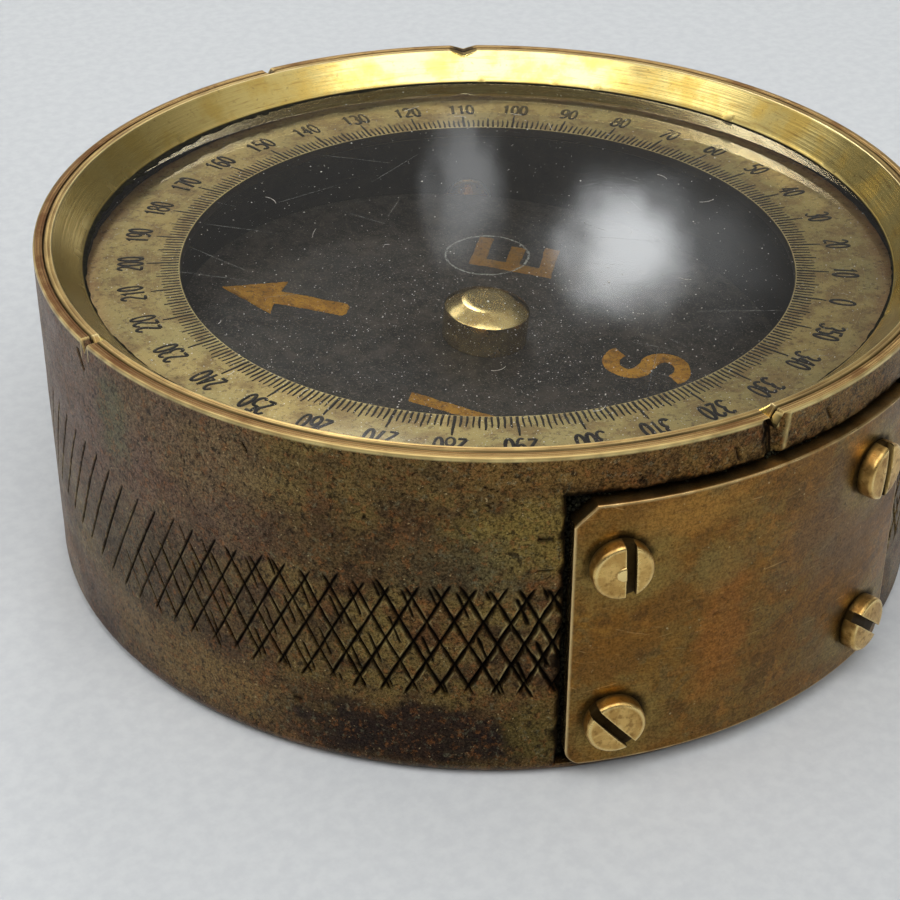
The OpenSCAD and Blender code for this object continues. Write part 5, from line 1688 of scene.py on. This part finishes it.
def build_camera():
    cam = bpy.data.cameras.new("camera")
    cam.sensor_width, cam.lens = 36.0, 2075.4 / 900 * 36.0
    cam.clip_start, cam.clip_end = 0.005, 10
    o = bpy.data.objects.new("camera", cam)
    rot = Matrix((RIGHT, UP, BACK)).transposed().to_4x4()
    o.matrix_world = Matrix.Translation((0, 0, H_CASE * MM)) @ WORLD_YAW @ Matrix.Translation(CAM_FIT) @ rot
    bpy.context.scene.collection.objects.link(o)
    bpy.context.scene.camera = o


def build_lights():
    c = from_view(0, 0, 0)
    # power for a given radiance over a given area
    w_for = lambda radiance, sx, sy: radiance * math.pi * sx * sy
    # overhead, a little toward the viewer: lights the bevel's far side
    lamp("overhead_softbox", from_view(0.02, -0.34, 0.56), c, 1.0, 0.75, w_for(2.2, 1.0, 0.75), (1.0, 0.98, 0.95), 0.3)
    # behind and low: its soft reflection lies on the glass
    lamp("back_softbox", from_view(0.059, 0.533, 0.2735), from_view(0.01, 0, 0), 0.064, 0.066, w_for(4.9, 0.064, 0.066), (0.95, 0.98, 1.0), 0.95, 0.28, False)
    lamp("back_softbox_wide", from_view(0.070, 0.533, 0.2740), from_view(0.01, 0, 0), 0.115, 0.085, w_for(0.7, 0.115, 0.085), (0.95, 0.98, 1.0), 0.95, 0.4, False)
    lamp("back_softbox_left", from_view(0.002, 0.54, 0.254), from_view(0.0, 0, 0), 0.040, 0.080, w_for(1.3, 0.040, 0.080), (0.95, 0.98, 1.0), 0.95, 0.35, False)
    # behind and high: lights the cap and the degree ring
    lamp("high_back_softbox", from_view(-0.045, 0.474, 0.442), c, 0.23, 0.25, w_for(7.4, 0.23, 0.25), (1.0, 0.99, 0.97), 0.5)
    lamp("far_floor_light", from_view(-0.58, 0.62, 0.85), from_view(-0.15, 0.25, 0), 0.7, 0.45, w_for(1.2, 0.7, 0.45), (1.0, 0.99, 0.98), 0.4)
    lamp("left_softbox", from_view(-0.455, -0.11, 0.45), c, 0.46, 0.42, w_for(1.7, 0.46, 0.42), (1.0, 0.97, 0.92), 0.5)
    lamp("right_fill", from_view(0.55, -0.35, 0.30), c, 0.42, 0.42, w_for(1.4, 0.42, 0.42), (1.0, 0.98, 0.95), 0.5)
    # low and far behind on both sides: lights the inner flanks of the bevel
    lamp("low_left_softbox", from_view(-0.80, 0.62, 0.22), c, 0.75, 0.34, w_for(3.6, 0.75, 0.34), (1.0, 0.98, 0.95), 0.5, 0.0, False)
    lamp("low_right_softbox", from_view(0.62, 0.96, 0.12), c, 0.60, 0.20, w_for(1.5, 0.60, 0.20), (1.0, 0.97, 0.92), 0.5, 0.0, False)
    w = bpy.data.worlds.new("soft_room")
    bpy.context.scene.world = w
    w.use_nodes = True
    bg = w.node_tree.nodes["Background"]
    bg.inputs[0].default_value = (0.88, 0.86, 0.82, 1)
    # darker near the horizon than overhead
    nt = w.node_tree
    tc = nt.nodes.new("ShaderNodeTexCoord")
    sep = nt.nodes.new("ShaderNodeSeparateXYZ")
    mr = nt.nodes.new("ShaderNodeMapRange")
    mr.interpolation_type = "SMOOTHSTEP"
    nt.links.new(tc.outputs["Generated"], sep.inputs[0])
    nt.links.new(sep.outputs[2], mr.inputs["Value"])
    mr.inputs["From Min"].default_value = 0.48
    mr.inputs["From Max"].default_value = 0.85
    mr.inputs["To Min"].default_value = 0.155
    mr.inputs["To Max"].default_value = 0.68
    nt.links.new(mr.outputs["Result"], bg.inputs[1])


build_floor()
build_camera()
build_lights()
vs = bpy.context.scene.view_settings
vs.view_transform = "Standard"
vs.look = "None"
vs.exposure = 0.0
